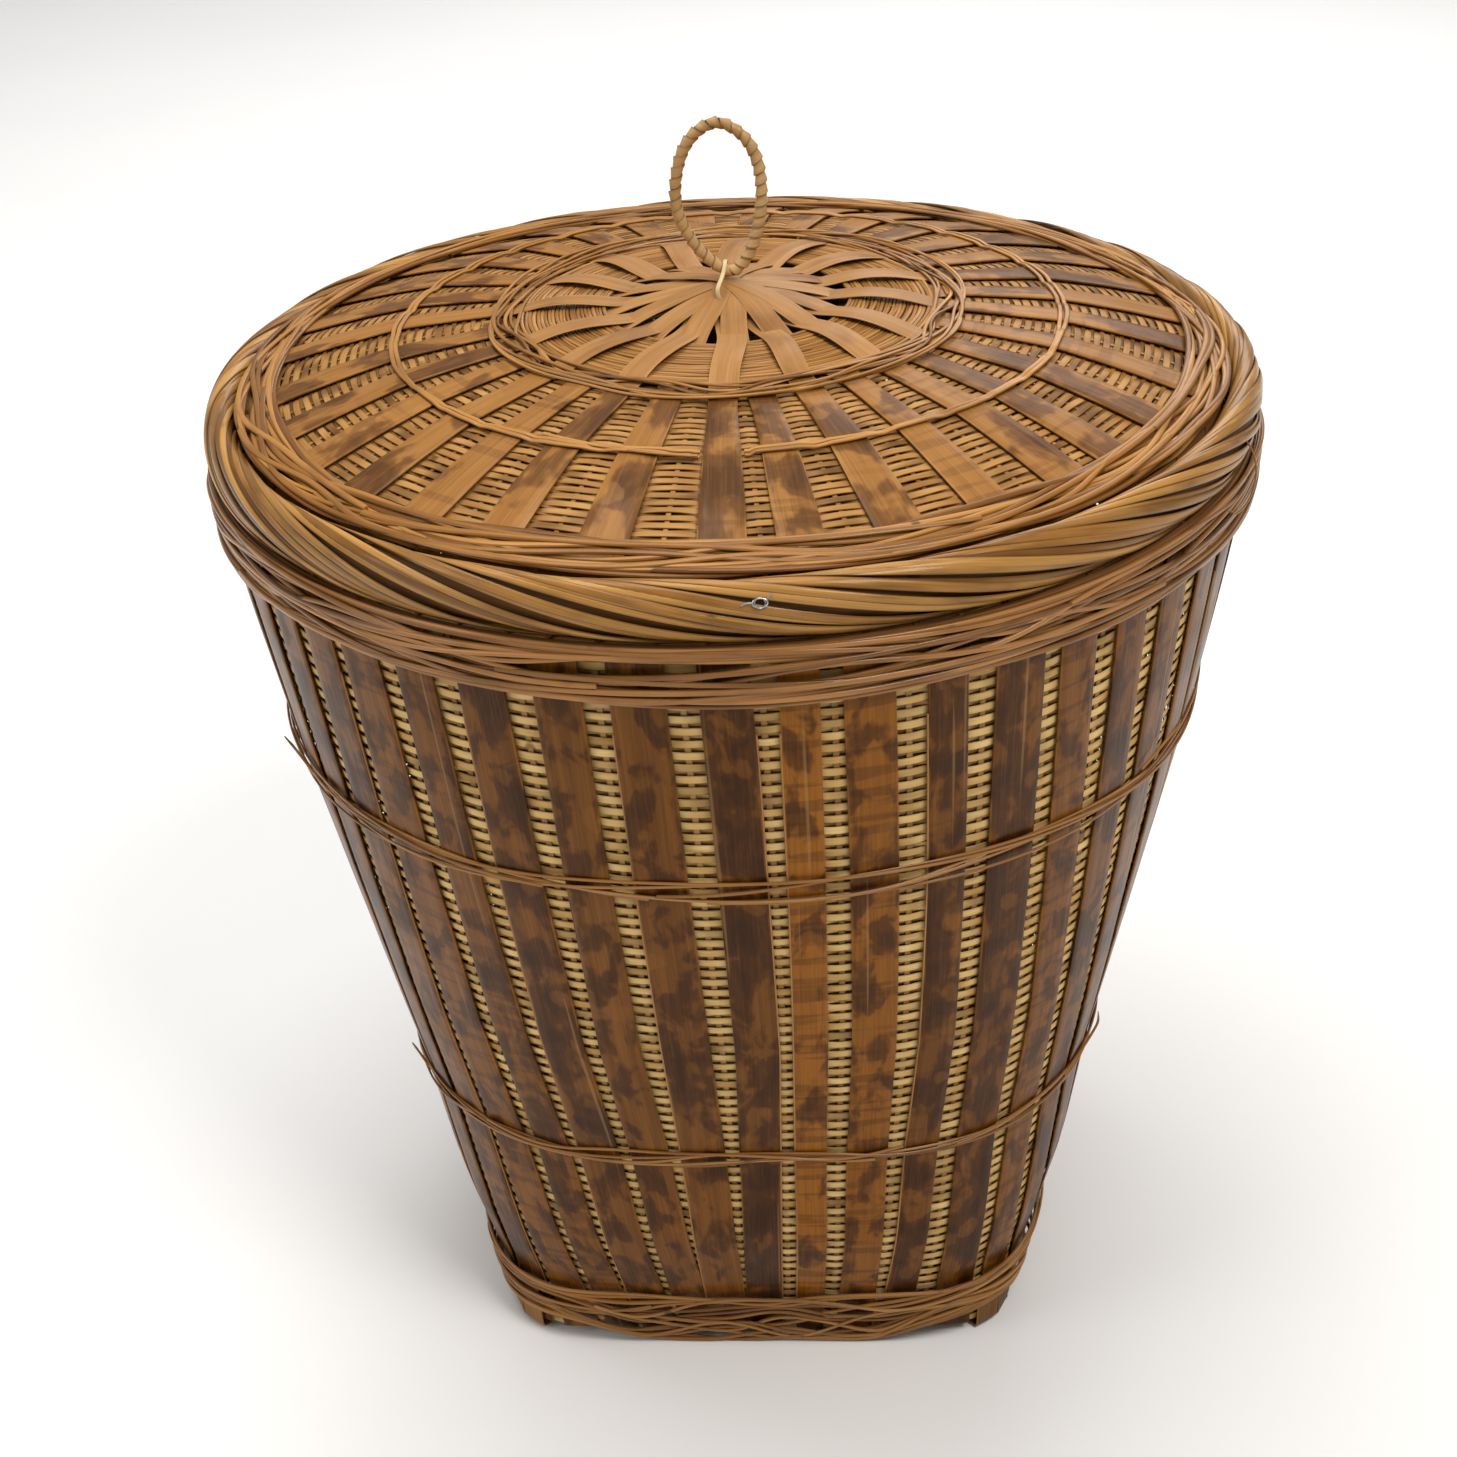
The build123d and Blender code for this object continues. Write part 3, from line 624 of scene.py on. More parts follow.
def band(b, surface, mid, half, count, waves, off, deep, w, t, sway=0.5, samples=480, spans=None):
    """A band of thin canes that wander across each other round a surface."""
    for i in range(count):
        span = None if spans is None else spans[i % len(spans)]
        closed = span is None
        a0, a1 = (0.0, TAU) if closed else (math.radians(span[0]), math.radians(span[1]))
        m = samples if closed else max(40, int(samples * (a1 - a0) / TAU))
        phi = np.linspace(a0, a1, m, endpoint=not closed)
        level = -1.0 + 2.0 * (i + 0.5) / count
        k = RNG.integers(waves[0], waves[1] + 1)
        turn = k * phi + RNG.uniform(0, TAU) + wobble(phi, 0.7, (1, 2, 5))
        x = level + sway * np.sin(turn) + wobble(phi, 0.10, (k + 3, 2 * k + 1))
        x = np.tanh(x * 1.25) / np.tanh(1.35)
        pos = (mid(phi) if callable(mid) else mid) + (half(phi) if callable(half) else half) * np.clip(x, -1.06, 1.06)
        pos = np.maximum(pos, 2.4)
        o = off + deep * (0.5 + 0.42 * np.cos(turn + 0.6 * i) + 0.16 * ((i * 0.618) % 1.0 - 0.5))
        p, n = surface(phi, pos, o)
        wi, ti = RNG.uniform(*w), RNG.uniform(*t)
        b.strip(p, n, wi * (1 + wobble(phi, 0.06, (7, 17))), ti, PROF_SPLIT if wi > 2.1 else PROF_CANE, closed=closed)


up0, up1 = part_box("upper_hoop")[0].z / MM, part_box("upper_hoop")[1].z / MM
b = Bundle()
band(b, wall, (up0 + up1) / 2, 5.0, 6, (3, 6), 1.95, 1.9, (1.5, 1.9), (1.1, 1.4), sway=0.8,
     spans=[None, (-91.5, 262), None, (-150, -84), (-97, 250), None])
b.build("hoop_upper", M_HOOP, "basket", "cane_band", "upper_hoop")

lo0, lo1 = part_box("lower_hoop")[0].z / MM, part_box("lower_hoop")[1].z / MM
b = Bundle()
band(b, wall, (lo0 + lo1) / 2, 3.9, 5, (4, 8), 1.95, 1.6, (1.4, 1.8), (1.0, 1.3), sway=0.8,
     spans=[None, (-101, 250), (-58, 290), None, (-130, -66)])
b.build("hoop_lower", M_HOOP, "basket", "cane_band", "lower_hoop")

rb0, rb1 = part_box("rim_band")[0].z / MM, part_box("rim_band")[1].z / MM
b = Bundle()
band(b, wall, (rb0 + rb1) / 2 - 0.6, 11.0, 17, (3, 7), 2.2, 3.0, (2.1, 2.9), (1.3, 1.8), sway=0.40, samples=560)
band(b, wall, rb1 + 2.2, 1.0, 3, (2, 4), 2.6, 1.3, (2.2, 2.6), (1.3, 1.7), sway=0.5, samples=480)
band(b, wall, rb0 + 3.5, 4.5, 4, (2, 4), 4.6, 0.9, (2.4, 3.0), (1.2, 1.5), sway=0.7,
     spans=[(-150, -40), (-110, 30), (0, 150), (120, 260)])
phi = np.linspace(0, TAU, 400, endpoint=False)
d = np.abs((phi - math.radians(278) + np.pi) % TAU - np.pi)
p, n = wall(phi, rb0 - 2.6 - 4.2 * np.exp(-(d / 0.42) ** 2) + wobble(phi, 0.5, (3, 8)), 3.4)
b.strip(p, n, 2.3, 1.4, PROF_SPLIT, closed=True, tint=(0.8, 0.2, 0.5))
b.build("rim_strands", M_RIM, "basket", "cane_band", "rim_band")

# The rim: an inner hoop, a cap of two canes, and lashing wound over both.
b = Bundle()
ih0, ih1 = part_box("rim_inner_hoop")[0].z / MM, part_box("rim_inner_hoop")[1].z / MM
phi = np.linspace(0, TAU, 360, endpoint=False)
for i, zc in enumerate((ih0 + 5.3, ih0 + 15.2)):
    p, n = wall(phi, zc + wobble(phi, 0.3, (3, 8)), -3.2)
    b.strip(p, -n, 10.2, 1.7, PROF_FLAT, closed=True)
cap0, cap1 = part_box("rim_cap")[0].z / MM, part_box("rim_cap")[1].z / MM
for off, r in ((-4.2, 1.7), (-1.0, 1.7), (1.3, 1.2)):
    p, n = wall(phi, 470.0 * 0 + cap0 - 0.6, off)
    p[:, 2] = cap0 - 0.2 + wobble(phi, 0.12, (4, 9))
    b.strip(p, np.array([0, 0, 1.0]), 2 * r, 3.0, PROF_CANE, closed=True)
b.build("rim_inside", M_RIM, "basket", "cane_band", "rim_inner_hoop", "rim_cap")
b = Bundle()
path = np.array([(-3.0, 468.3), (-3.5, 468.5), (-4.2, 468.5), (-5.0, 468.2), (-5.8, 467.4), (-6.4, 465.6),
                 (-6.6, 460.0), (-6.6, 450.0), (-6.0, 445.5), (-4.0, 443.0)])
tt = np.linspace(0, len(path) - 1, 34)
po, pz = np.interp(tt, np.arange(len(path)), path[:, 0]), np.interp(tt, np.arange(len(path)), path[:, 1])
for _ in range(2):
    po[1:-1], pz[1:-1] = (po[:-2] + 2 * po[1:-1] + po[2:]) / 4, (pz[:-2] + 2 * pz[1:-1] + pz[2:]) / 4
for i in range(72):
    a0 = i * TAU / 72 + RNG.uniform(-0.008, 0.008)
    a = a0 + np.linspace(0, 0.035, len(po))
    base = wall_r(a, np.full_like(a, 462.0))
    p = np.stack([(base + po) * np.cos(a), (base + po) * np.sin(a), pz], -1)
    d = np.gradient(np.stack([po, pz], -1), axis=0)
    nn = np.stack([d[:, 1] * -1, d[:, 0]], -1)
    nrm = np.stack([-nn[:, 0] * -1 * np.cos(a), -nn[:, 0] * -1 * np.sin(a), nn[:, 1]], -1)
    mid = np.stack([(base - 1.0) * np.cos(a), (base - 1.0) * np.sin(a), np.full_like(a, 457.0)], -1)
    flip = np.sign(np.sum(nrm * (p - mid), 1, keepdims=True))
    b.strip(p, nrm * np.where(flip == 0, 1, flip), 5.2, 0.5, PROF_FLAT)
b.build("rim_lashing", M_RIM, "basket", "cane_band")

# Base band: long crossing strands that lift at the corners to show the feet.
b = Bundle()
bb0, bb1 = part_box("base_band")[0].z / MM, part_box("base_band")[1].z / MM


def corner(phi):
    c = np.abs(np.sin(2 * phi))
    x = np.clip((c - 0.72) / 0.26, 0, 1)
    return x * x * (3 - 2 * x)


top = bb1 - 1.4
band(b, wall, lambda q: (top + 3.2 + 14.5 * corner(q)) / 2, lambda q: (top - 3.2 - 14.5 * corner(q)) / 2, 14, (6, 11),
     3.6, 1.9, (2.1, 2.8), (1.1, 1.6), sway=0.22, samples=640)
band(b, wall, lambda q: (top + 4.0 + 14.5 * corner(q)) / 2, lambda q: (top - 6.0 - 14.5 * corner(q)) / 2, 5, (5, 8),
     5.4, 0.6, (2.0, 2.5), (1.0, 1.3), sway=0.6, samples=480, spans=[(-150, -40), (-80, 60), (20, 150), (130, 250), (-120, 20)])
b.build("base_strands", M_HOOP, "basket", "cane_band", "base_band")

# Corner feet: two flat strips side by side, turned in under the base.
for name, deg in (("front_left", -135), ("front_right", -45), ("back_right", 45), ("back_left", 135)):
    b = Bundle()
    for s in (-1, 1):
        zz = np.concatenate([np.full(5, 1.45), [1.9, 3.0], np.linspace(4.7, 30, 14)])
        a = math.radians(deg) + s * 6.7 / wall_r(math.radians(deg), 10.0) + 0 * zz
        p, n = wall(a, np.maximum(zz, 0.3), 2.35)
        inward = np.concatenate([np.linspace(13, 2.2, 5), [0.8, 0.15], np.zeros(14)])
        r = np.hypot(p[:, 0], p[:, 1])
        p[:, 0] *= (r - inward) / r
        p[:, 1] *= (r - inward) / r
        p[:, 2] = zz
        out = n.copy()
        out[:5] = (0, 0, -1)
        out[5] = out[5] * 0.5 + np.array([0, 0, -0.5])
        b.strip(p, out, 13.8, 0.95, PROF_FLAT)
    b.build(f"foot_{name}", M_FOOT, "basket", "bamboo_tan", f"{name}_foot")

# Base: wide plaited strips below, a finer plaited mat inside.
def plait(b, half, n_exp, pitch, width, thick, z, amp, prof):
    k = int(half // pitch)
    for turn in (0, 1):
        for i in range(-k, k + 1):
            x = i * pitch
            ha, hb = (half * 0.965, half) if not turn else (half, half * 0.965)
            ymax = hb * max(0.0, 1 - min(1.0, abs(x) / ha) ** n_exp) ** (1.0 / n_exp)
            if ymax < pitch:
                continue
            y = np.linspace(-ymax, ymax, int(8 * ymax / pitch) + 3)
            zz = z + amp * np.cos(np.pi * y / pitch) * (1 if (i % 2 == 0) ^ (turn == 1) else -1)
            xx = x + wobble(y / 40.0, pitch * 0.012, (1, 2.1))
            p = np.stack([xx, y, zz], -1) if not turn else np.stack([y, xx, zz], -1)
            b.strip(p, (0, 0, 1.0), width, thick, prof)


b = Bundle()
plait(b, 134.0, 7.3, 23.4, 20.8, 0.8, 5.4, 0.62, PROF_FLAT)
b.build("base_plait", M_FOOT, "basket", "bamboo_tan", "base_strips_lengthwise", "base_strips_crosswise")
b = Bundle()
plait(b, 136.0, 6.6, 9.6, 8.9, 0.5, 7.9, 0.42, PROF_WEFT)
b.build("base_inner_mat", M_WEFT, "basket", "bamboo_weft", "base_mat")

# -------------------------------------------------------------------- the lid
def rib_angles():
    left = 32 - len(RIBS_FRONT)
    gap = RIBS_FRONT[0] + 360.0 - RIBS_FRONT[-1]
    return np.radians(RIBS_FRONT + [RIBS_FRONT[-1] + gap * i / (left + 1.0) for i in range(1, left + 1)])


RIBS = rib_angles()
b = Bundle()
for i, a0 in enumerate(RIBS):
    r = np.linspace(104.0, 226.5, 40)
    w = np.interp(r, (97, 125, 190, 226), (12.6, 13.4, 19.4, 21.6)) * RNG.uniform(0.93, 1.07)
    a = a0 + wobble(r / 60.0, 0.5, (1, 1.9)) / r
    off = np.interp(r, (104, 118, 214, 226), (0.75, 0.35, 0.35, 0.1)) + wobble(r / 40.0, 0.08, (1, 2))
    p, n = dome(a, r, off)
    chosen = {9: (0.25, 0.6, 0.92), 10: (0.4, 0.7, 0.8), 11: (0.7, 0.4, 0.6), 8: (0.8, 0.3, 0.55), 7: (0.85, 0.3, 0.45),
              14: (0.6, 0.7, 0.75), 15: (0.5, 0.8, 0.7)}
    tint = (RNG.uniform(0.45, 1.0), RNG.uniform(), RNG.uniform(0.1, 0.8))
    b.strip(p, n, w, 1.0, PROF_SLAT, tint=chosen.get(i, tint))
b.build("lid_ribs", M_RIB, "lid", "bamboo_slat", "lid_ribs_over_coil", "lid_ribs_under_coil")

b = Bundle()
mids = np.array([(x + y) / 2 for x, y in zip(RIBS, list(RIBS[1:]) + [RIBS[0] + TAU])])
lid_warps = np.ravel(np.column_stack([RIBS, mids]))
ring = np.append(lid_warps, lid_warps[0] + TAU)
k = 0
r = 100.6
while r < 233.0:
    for kind in (0, 1):
        rc = r + 2.3 * kind
        t = np.arange(64 * 5) / 5.0
        phi = np.interp(t, np.arange(65), ring)
        wave = np.cos(np.pi * t) * (-1.0 if kind == 0 else 1.0)
        wave = np.sign(wave) * np.abs(wave) ** 0.7
        rr = rc + wobble(phi, 0.34, (5, 17, 32, 45)) + RNG.uniform(-0.15, 0.15)
        p, n = dome(phi, rr, -1.05 + 0.72 * wave - 0.3)
        tone = np.stack([0.5 + wobble(phi, 0.45, (13, 31, 47)), 0.4 + wobble(phi, 0.45, (11, 27, 41)), np.full_like(phi, RNG.uniform())], -1)
        # The recessed rows get a higher second number, which darkens them: painted shade behind the front rows.
        if kind:
            tone[:, 1] += 0.55
        b.strip(p, n, (3.3 if kind == 0 else 2.2) * (1 + wobble(phi, 0.09, (21, 39, 52))), 0.6, PROF_WEFT, closed=True, tint=np.clip(tone, 0, 1))
    r += 4.62
for j, a in enumerate(lid_warps):
    rr = np.linspace(99.5, 232, 30)
    p, n = dome(a + 0 * rr, rr, -1.3)
    b.strip(p, n, 2.2 if j % 2 else 4.0, 0.45, PROF_WEFT)
b.build("lid_weft", M_RUNG, "lid", "bamboo_weft", "lid_weave", sharp=50)

# Centre: coil of fine cane, and sixteen strips that cross at the middle.
b = Bundle()
phi = np.linspace(0, TAU, 260, endpoint=False)
r = 57.2
while r < 97.0:
    w = RNG.uniform(1.5, 2.1)
    rr = r + w / 2 + wobble(phi, 0.32, (3, 7, 13))
    p, n = dome(phi, rr, 0.15 + RNG.uniform(-0.12, 0.25) + wobble(phi, 0.16, (6, 16)))
    b.strip(p, n, w * 1.06, 1.9, PROF_CANE, closed=True)
    r += w
b.build("lid_coil_strands", M_COIL, "lid", "bamboo_tan", "lid_coil")

OVER = np.array([(0, 527.4), (12, 527.0), (28, 525.0), (42, 523.4), (52, 523.9), (60, 525.0), (70, 525.6), (82, 524.6),
                 (92, 522.4), (99, 520.0), (112, 518.6)])
UNDER = np.array([(0, 531.2), (12, 530.7), (26, 528.9), (40, 526.4), (48, 524.3), (56, 521.6), (64, 520.3), (80, 519.2),
                  (92, 518.4), (99, 519.0), (112, 518.5)])
b = Bundle()
order_o, order_u = RNG.permutation(8), RNG.permutation(8)
for i in range(16):
    over = i % 2 == 1
    table = OVER if over else UNDER
    a1, a2 = RIBS[i], RIBS[i + 16]
    d1, d2 = np.array([math.cos(a1), math.sin(a1)]), np.array([math.cos(a2), math.sin(a2)])
    t = np.linspace(-1, 1, 91)
    q = RNG.uniform(-1, 1) * 3.0
    bend = 0.085 * (1 if over else -1)
    s = np.abs(t) * 111.0
    xy = np.where(t[:, None] < 0, d1[None] * s[:, None], d2[None] * s[:, None])
    # Ease the strip through the middle, a little off centre, and bow each arm to one side.
    perp = np.array([-d1[1], d1[0]])
    xy = xy + perp[None] * (q * np.exp(-(s / 34.0) ** 2))[:, None]
    side = np.stack([-xy[:, 1], xy[:, 0]], -1) / np.maximum(np.linalg.norm(xy, axis=1, keepdims=True), 1e-6)
    xy = xy + side * (bend * 40.0 * np.sin(np.pi * np.clip((s - 14) / 85.0, 0, 1)) ** 2)[:, None]
    for _ in range(6):
        xy[1:-1] = (xy[:-2] + 2 * xy[1:-1] + xy[2:]) / 4
    rad = np.linalg.norm(xy, axis=1)
    z = np.interp(rad, table[:, 0], table[:, 1])
    lv = (order_o if over else order_u)[i // 2]
    z = z + lv * (0.36 if over else 0.34) * np.exp(-(rad / 40.0) ** 2)
    for _ in range(5):
        z[1:-1] = (z[:-2] + 2 * z[1:-1] + z[2:]) / 4
    p = np.column_stack([xy, z])
    tan = np.gradient(p, axis=0)
    w = np.interp(rad, (0, 14, 30, 60, 112), (8.0, 9.6, 12.2, 13.2, 13.0)) * RNG.uniform(0.94, 1.05)
    b.strip(p, (0, 0, 1.0), w, 0.55, PROF_FLAT, tint=(RNG.uniform(0.5, 1.0), RNG.uniform(0, 0.7), RNG.uniform(0.2, 0.8)))
b.build("lid_star", M_STAR, "lid", "bamboo_tan", "lid_centre_crossing")


b = Bundle()
band(b, dome, 106.0, 7.8, 8, (4, 8), 1.25, 1.9, (1.6, 2.1), (1.1, 1.4), sway=0.38, samples=420)
b.build("lid_inner_strands", M_BAND, "lid", "cane_band", "lid_inner_band")

# Middle hoop: two strands over the ribs, dipping in the gaps, tucked under one rib.
b = Bundle()
gap_lo, gap_hi = math.degrees(RIBS[9]) - 3.4, math.degrees(RIBS[9]) + 3.4
phi = np.linspace(math.radians(gap_hi), math.radians(gap_lo + 360), 400)
near = np.min(np.abs((phi[:, None] - RIBS[None] + np.pi) % TAU - np.pi), axis=1)
lift = 1.42 - 1.0 * np.clip((near - 0.055) / 0.04, 0, 1)
for s in (-1, 1):
    rr = 158.0 + s * 1.15 + wobble(phi, 0.9, (3, 8, 16))
    ends = np.minimum(phi - phi[0], phi[-1] - phi)
    off = np.where(ends < 0.03, 0.1, lift + (0.35 if s > 0 else 0.0))
    p, n = dome(phi, rr, off)
    b.strip(p, n, 2.3, 1.4, PROF_CANE, tint=(0.8, 0.3, 0.4))
p, n = dome(np.radians(np.linspace(-118, -91.6, 40)), np.linspace(154.0, 162.0, 40) , np.linspace(1.5, 2.3, 40))
b.strip(p, n, 2.0, 1.2, PROF_CANE, tint=(0.9, 0.2, 0.4))
b.build("lid_middle_strands", M_BAND, "lid", "cane_band", "lid_mid_hoop")

b = Bundle()
band(b, dome, 224.6, 8.8, 12, (3, 8), 0.9, 2.4, (2.5, 3.4), (1.3, 1.7), sway=0.45, samples=600)
band(b, dome, 225.5, 7.0, 6, (3, 6), 3.2, 0.8, (2.6, 3.4), (1.2, 1.5), sway=0.8, samples=520,
     spans=[(-170, -60), (-130, 10), (-30, 120), (80, 230), (150, 300), (200, 330)])
b.build("lid_outer_strands", M_BAND, "lid", "cane_band", "lid_outer_band")

# Border: flat splints wound round a core, several lying side by side.
lo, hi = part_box("lid_border")
BR = hi.x / MM - 7.4
BZ, HA, HB = (lo.z + hi.z) / 2 / MM, 7.4, (hi.z - lo.z) / 2 / MM
b = Bundle()
ps = np.arange(24) * TAU / 24
b.lathe(240, [(BR + (HA - 1.5) * math.cos(a), BZ + (HB - 1.6) * math.sin(a)) for a in ps])
b.build("lid_border_core", M_CORE, "lid", "cane_border")
b = Bundle()
SPLINTS = 84
for i in range(SPLINTS):
    m = 64
    t = np.linspace(0, 1, m)
    psi = np.radians(165.0 - 335.0 * t)
    phi0 = i * TAU / SPLINTS + RNG.uniform(-0.02, 0.02)
    phi = phi0 + math.radians(74.0 + RNG.uniform(-7, 7)) * t
    grow = -1.25 + 0.55 * ((i * 5) % 4) / 1.5 + 0.5 * np.sin(np.pi * t) + wobble(t * 5, 0.22, (1, 2.3))
    ra, rb = HA + grow, HB + grow - 0.35
    rr = BR + ra * np.cos(psi)
    zz = BZ + rb * np.sin(psi)
    p = np.stack([rr * np.cos(phi), rr * np.sin(phi), zz], -1)
    nr, nz = np.cos(psi) / HA, np.sin(psi) / HB
    n = np.stack([nr * np.cos(phi), nr * np.sin(phi), nz], -1)
    n /= np.linalg.norm(n, axis=1, keepdims=True)
    w = np.interp(t, (0, 0.08, 0.9, 1), (2.2, 4.0, 3.8, 2.0)) * RNG.uniform(0.8, 1.2)
    b.strip(p, n, w, 1.15, PROF_SPLIT)
b.build("lid_border_splints", M_BORDER, "lid", "cane_border", "lid_border")

# Collar under the lid, and its lashing.
b = Bundle()
lo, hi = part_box("lid_collar")
c0, c1, cr = lo.z / MM, hi.z / MM, hi.x / MM
phi = np.linspace(0, TAU, 300, endpoint=False)
for i in range(3):
    zc = c0 + 6.6 + i * (c1 - c0 - 13.4) / 2
    rr = cr - 2.6 + wobble(phi, 0.25, (3, 7))
    p = np.stack([rr * np.cos(phi), rr * np.sin(phi), zc + wobble(phi, 0.3, (4, 9))], -1)
    n = np.stack([np.cos(phi), np.sin(phi), 0 * phi], -1)
    b.strip(p, n, 12.9, 1.7, PROF_FLAT, closed=True)
b.build("lid_collar_hoops", M_COIL, "lid", "cane_band", "lid_collar")
b = Bundle()
for i in range(40):
    k = np.concatenate([np.linspace(0, 0.42, 12), np.linspace(0.44, 0.56, 7), np.linspace(0.58, 1, 12)])
    turn = (0, 0.44, 0.5, 0.56, 1)
    a = i * TAU / 40 + 0.2 * (k - 0.5)
    rr = np.interp(k, turn, (cr - 2.5, cr - 2.5, cr - 1.6, cr - 0.7, cr - 0.7))
    z = np.interp(k, turn, (c1 + 0.2, c0 + 0.5, c0 - 0.1, c0 + 0.5, c1 + 0.2))
    nr, nz = np.interp(k, turn, (-1, -1, 0, 1, 1)), np.interp(k, turn, (0, 0, -1, 0, 0))
    b.strip(np.stack([rr * np.cos(a), rr * np.sin(a), z], -1), np.stack([nr * np.cos(a), nr * np.sin(a), nz], -1), 3.0, 0.5, PROF_FLAT)
b.build("lid_collar_lashing", M_BAND, "lid", "cane_band")

# ----------------------------------------------------------------- the handle
LOOP_Z = 538.3
LOOP = np.array([(2.1, 0.0), (8.0, 3.2), (13.0, 11.5), (16.8, 23.5), (18.5, 38.0), (16.8, 53.0), (10.8, 64.2), (0.5, 70.4),
                 (-9.5, 67.2), (-17.2, 57.5), (-21.3, 42.0), (-20.6, 28.0), (-14.5, 14.6), (-5.6, 4.4)])


def closed_curve(pts, n):
    k = len(pts)
    out = []
    for i in range(k):
        p0, p1, p2, p3 = pts[i - 1], pts[i], pts[(i + 1) % k], pts[(i + 2) % k]
        for t in np.arange(n) / n:
            out.append(0.5 * (2 * p1 + (p2 - p0) * t + (2 * p0 - 5 * p1 + 4 * p2 - p3) * t * t + (3 * p1 - p0 - 3 * p2 + p3) * t ** 3))
    return np.array(out)


c = closed_curve(LOOP, 40)
for _ in range(12):
    c = (np.roll(c, 1, 0) + 2 * c + np.roll(c, -1, 0)) / 4
seg = np.linalg.norm(np.roll(c, -1, 0) - c, axis=1)
arc = np.concatenate([[0], np.cumsum(seg)])
total = arc[-1]
cc = np.vstack([c, c[:1]])
turns = 34
s = np.linspace(0, total, turns * 14, endpoint=False)
cx, cz = np.interp(s, arc, cc[:, 0]), np.interp(s, arc, cc[:, 1]) + LOOP_Z
line = np.stack([cx, 0 * cx, cz], -1)
tan = np.roll(line, -1, 0) - np.roll(line, 1, 0)
tan /= np.linalg.norm(tan, axis=1, keepdims=True)
ny = np.array([0, 1.0, 0])
nx = np.cross(ny, tan)
b = Bundle()
b.strip(line, np.broadcast_to(ny, line.shape), 3.6, 3.6, [(x, y - 0.5) for x, y in PROF_CANE], closed=True)
b.build("handle_cane", M_CORE, "handle", "cane_loop", "handle_core")
b = Bundle()
th = TAU * turns * s / total + 0.25 * np.sin(5 * TAU * s / total)
fat = 2.02 + wobble(TAU * s / total, 0.13, (2, 3, 5))
rad = np.cos(th)[:, None] * nx + np.sin(th)[:, None] * ny
p = line + rad * fat[:, None]
lean = rad + tan * 0.2
b.strip(p, lean, 5.2 + wobble(TAU * s / total, 0.3, (4, 7)), 0.62, PROF_FLAT, closed=True, tint=(0.6, 0.3, 0.5), v0=0)
b.build("handle_winding", M_WRAP, "handle", "cane_loop", "handle_wrap")

# Tie: a flat strip over the loop's foot, through the lid, under a toggle.
tl, th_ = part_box("handle_tie")
y0, y1, z0, z1 = tl.y / MM + 0.9, th_.y / MM - 0.9, tl.z / MM + 0.9, th_.z / MM - 0.9
pts = np.array([(0.2, y1, z0), (0.2, y1, z1 - 3.5), (0.1, y1 - 1.2, z1 - 0.8), (0, 0.4, z1 - 0.1), (0, -3.4, z1 - 0.9), (-0.9, -8.2, z1 - 4.0),
                (-2.4, y0 + 2.0, 536.6), (-2.8, y0, 534.2), (-1.5, y0, 530.0), (0, y0, 524.0), (0, y0, z0 + 0.8), (0, y0 + 1.5, z0), (0, y1 - 1.5, z0)])
pts = closed_curve(pts, 12)
for _ in range(6):
    pts = (np.roll(pts, 1, 0) + 2 * pts + np.roll(pts, -1, 0)) / 4
ctr = pts.mean(0)
tn = np.roll(pts, -1, 0) - np.roll(pts, 1, 0)
nrm = np.cross(tn, (1.0, 0, 0))
nrm *= np.sign(np.sum(nrm * (pts - ctr), 1, keepdims=True) + 1e-9)
b = Bundle()
b.strip(pts, nrm, 1.9, 0.7, PROF_FLAT, closed=True, tint=(0.6, 0.3, 0.5))
b.build("tie_flat_strip", M_TIE, "lid", "tie_strip", "handle_tie")
lo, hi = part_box("tie_toggle")
ct, hx, hr = (lo + hi) / 2 / MM, (hi.x - lo.x) / 2 / MM, (hi.z - lo.z) / 2 / MM
x = np.concatenate([[-1.0, -0.99, -0.96], np.linspace(-0.9, 0.9, 14), [0.96, 0.99, 1.0]]) * hx
shape = np.interp(np.abs(x) / hx, (0, 0.2, 0.9, 0.96, 0.99, 1.0), (0.92, 0.96, 1.0, 0.95, 0.8, 0.55))
b = Bundle()
b.strip(np.column_stack([x, 0 * x + ct.y, 0 * x + ct.z]), (0, 0, 1.0), 2 * hr * shape, 2 * hr * shape,
        [(px, py - 0.5) for px, py in PROF_CANE], tint=(0.6, 0.2, 0.4))
b.build("toggle_peg", M_WRAP, "lid", "cane_loop", "tie_toggle")

# A small twist of wire on the border at the front.
b = Bundle()
a0, psi0 = math.radians(-84.5), math.radians(28.0)
rr, zz = BR + (HA + 1.2) * math.cos(psi0), BZ + (HB + 0.7) * math.sin(psi0)
ctr = np.array([rr * math.cos(a0), rr * math.sin(a0), zz])
nn = np.array([math.cos(psi0) * math.cos(a0), math.cos(psi0) * math.sin(a0), math.sin(psi0)])
ax = np.array([-math.sin(a0), math.cos(a0), 0])
bx = np.cross(nn, ax)
t = np.linspace(0, 1, 60)
for k, (ra, rb, ph) in enumerate(((3.0, 1.8, 0.0), (2.2, 2.0, 1.2))):
    q = ctr + np.outer(ra * np.cos(TAU * 1.4 * t + ph), ax) + np.outer(rb * np.sin(TAU * 1.4 * t + ph), bx) + np.outer(0.4 + 0.9 * np.sin(3.0 * t * np.pi), nn) * 0.8
    b.strip(q, nn, 0.7, 0.7, PROF_CANE, tint=(0.5, 0.5, 0.5))
for s_, e_ in (((-3.2, 0.2, 0.3), (-7.5, -0.8, 0.1)), ((2.6, 0.9, 0.4), (5.4, 3.2, 0.9))):
    q = np.array([ctr + ax * ((1 - u) * s_[0] + u * e_[0]) + bx * ((1 - u) * s_[1] + u * e_[1] + 0.5 * math.sin(3 * u)) + nn * ((1 - u) * s_[2] + u * e_[2]) for u in np.linspace(0, 1, 14)])
    b.strip(q, nn, 0.7, 0.7, PROF_CANE, tint=(0.4, 0.5, 0.5))
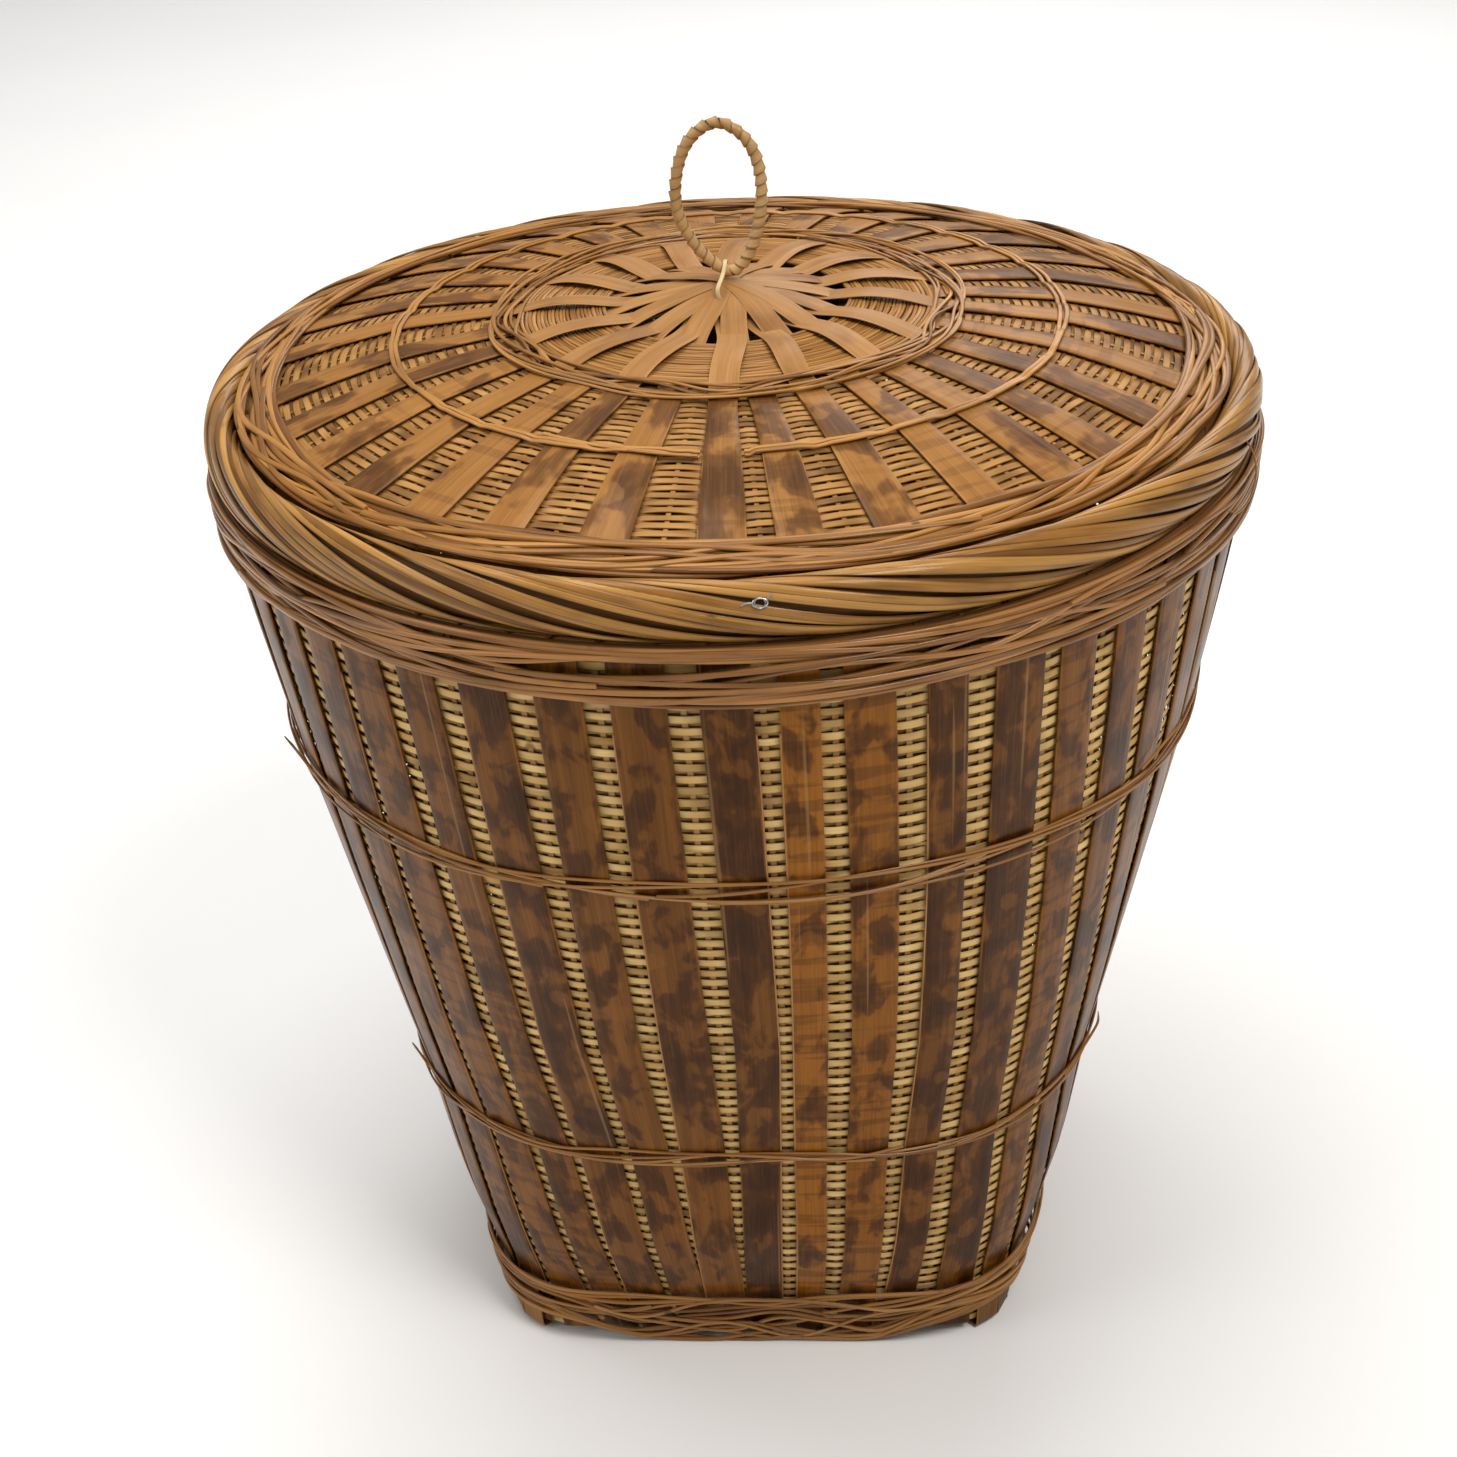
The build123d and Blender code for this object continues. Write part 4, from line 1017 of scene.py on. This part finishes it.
b.build("border_wire_knot", M_WIRE, "lid", "cane_border")

# Loose ends of strands.
def loose(b, pts, w=1.5, t=1.0, n=(0, -1.0, 0.2)):
    pts = np.array(pts, float)
    k = np.linspace(0, len(pts) - 1, 40)
    q = np.stack([np.interp(k, np.arange(len(pts)), pts[:, c]) for c in range(3)], -1)
    for _ in range(14):
        q[1:-1] = (q[:-2] + 2 * q[1:-1] + q[2:]) / 4
    b.strip(q, n, np.interp(np.linspace(0, 1, 40), (0, 0.8, 1), (w, w * 0.9, w * 0.35)), t, PROF_CANE)


def on_wall(deg, z, off):
    return wall(np.array([math.radians(deg)]), np.array([float(z)]), np.array([float(off)]))[0][0]


b = Bundle()
loose(b, [on_wall(-36, 344, 3), on_wall(-33.5, 347, 3.6), on_wall(-31, 352, 5.0), on_wall(-30, 357, 7.0), on_wall(-30.5, 362, 8.0)])
loose(b, [on_wall(-37, 156, 3), on_wall(-34, 161, 4), on_wall(-31.5, 170, 6), on_wall(-31.5, 181, 8), on_wall(-32.5, 190, 7)])
loose(b, [on_wall(-146, 339, 3), on_wall(-149, 342, 4.5), on_wall(-152, 347, 6.5), on_wall(-153, 353, 9.0)])
loose(b, [on_wall(-146, 155, 3), on_wall(-149, 158, 4.5), on_wall(-151, 162, 6.5)])
b.build("loose_ends_body", M_HOOP, "basket", "cane_band")
b = Bundle()
loose(b, [(231, -86, 486), (236, -92, 482), (238, -98, 474), (235, -106, 465), (228, -113, 459), (224, -114, 462)], 1.4, 0.9, (1, 0, 0))
b.build("loose_end_lid", M_BAND, "lid", "cane_border")

# ---------------------------------------------------------- floor and lights
me = bpy.data.meshes.new("floor")
me.from_pydata([(-8, -8, -0.0003), (8, -8, -0.0003), (8, 8, -0.0003), (-8, 8, -0.0003)], [], [(0, 1, 2, 3)])
floor = bpy.data.objects.new("floor", me)
SCENE.collection.objects.link(floor)
fm = Mat("floor_pale", rough=0.9, spec=0.15)
tex = fm.t.nodes.new("ShaderNodeTexCoord")
fn = fm.node("ShaderNodeTexNoise", Vector=tex.outputs["Object"], Scale=3.0, Detail=2.0)
fm.put(fm.b.inputs["Base Color"], fm.mix(fn.outputs[0], (0.86, 0.86, 0.86, 1.0), (0.90, 0.90, 0.895, 1.0)))
me.materials.append(fm.m)
floor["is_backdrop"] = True


def area(name, loc, target, size, power, colour=(1, 1, 1)):
    d = bpy.data.lights.new(name, "AREA")
    d.shape, d.size, d.energy, d.color = "SQUARE", size, power, colour
    o = bpy.data.objects.new(name, d)
    SCENE.collection.objects.link(o)
    o.location = loc
    o.rotation_euler = (Vector(target) - Vector(loc)).to_track_quat("-Z", "Y").to_euler()
    return o


area("key", (1.0, -1.2, 2.4), (0, 0, 0.35), 0.9, 38.0, (1.0, 0.97, 0.92))
area("top", (-0.4, 0.3, 2.9), (0, 0, 0.3), 1.8, 45.0, (1.0, 0.99, 0.97))
area("left", (-2.4, -1.2, 1.5), (0, 0, 0.3), 1.2, 16.0)
area("back", (0.6, 2.6, 1.8), (0, 0, 0.4), 1.4, 14.0)
far = area("far_floor", (-0.2, 2.6, 2.6), (-0.2, 2.6, 0), 2.4, 34.0)
far.visible_glossy = False
world = bpy.data.worlds.new("studio")
SCENE.world = world
world.use_nodes = True
bg = world.node_tree.nodes["Background"]
bg.inputs[0].default_value = (1.0, 0.985, 0.96, 1.0)
bg.inputs[1].default_value = 0.30
SCENE.view_settings.view_transform = "Standard"

lo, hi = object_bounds()
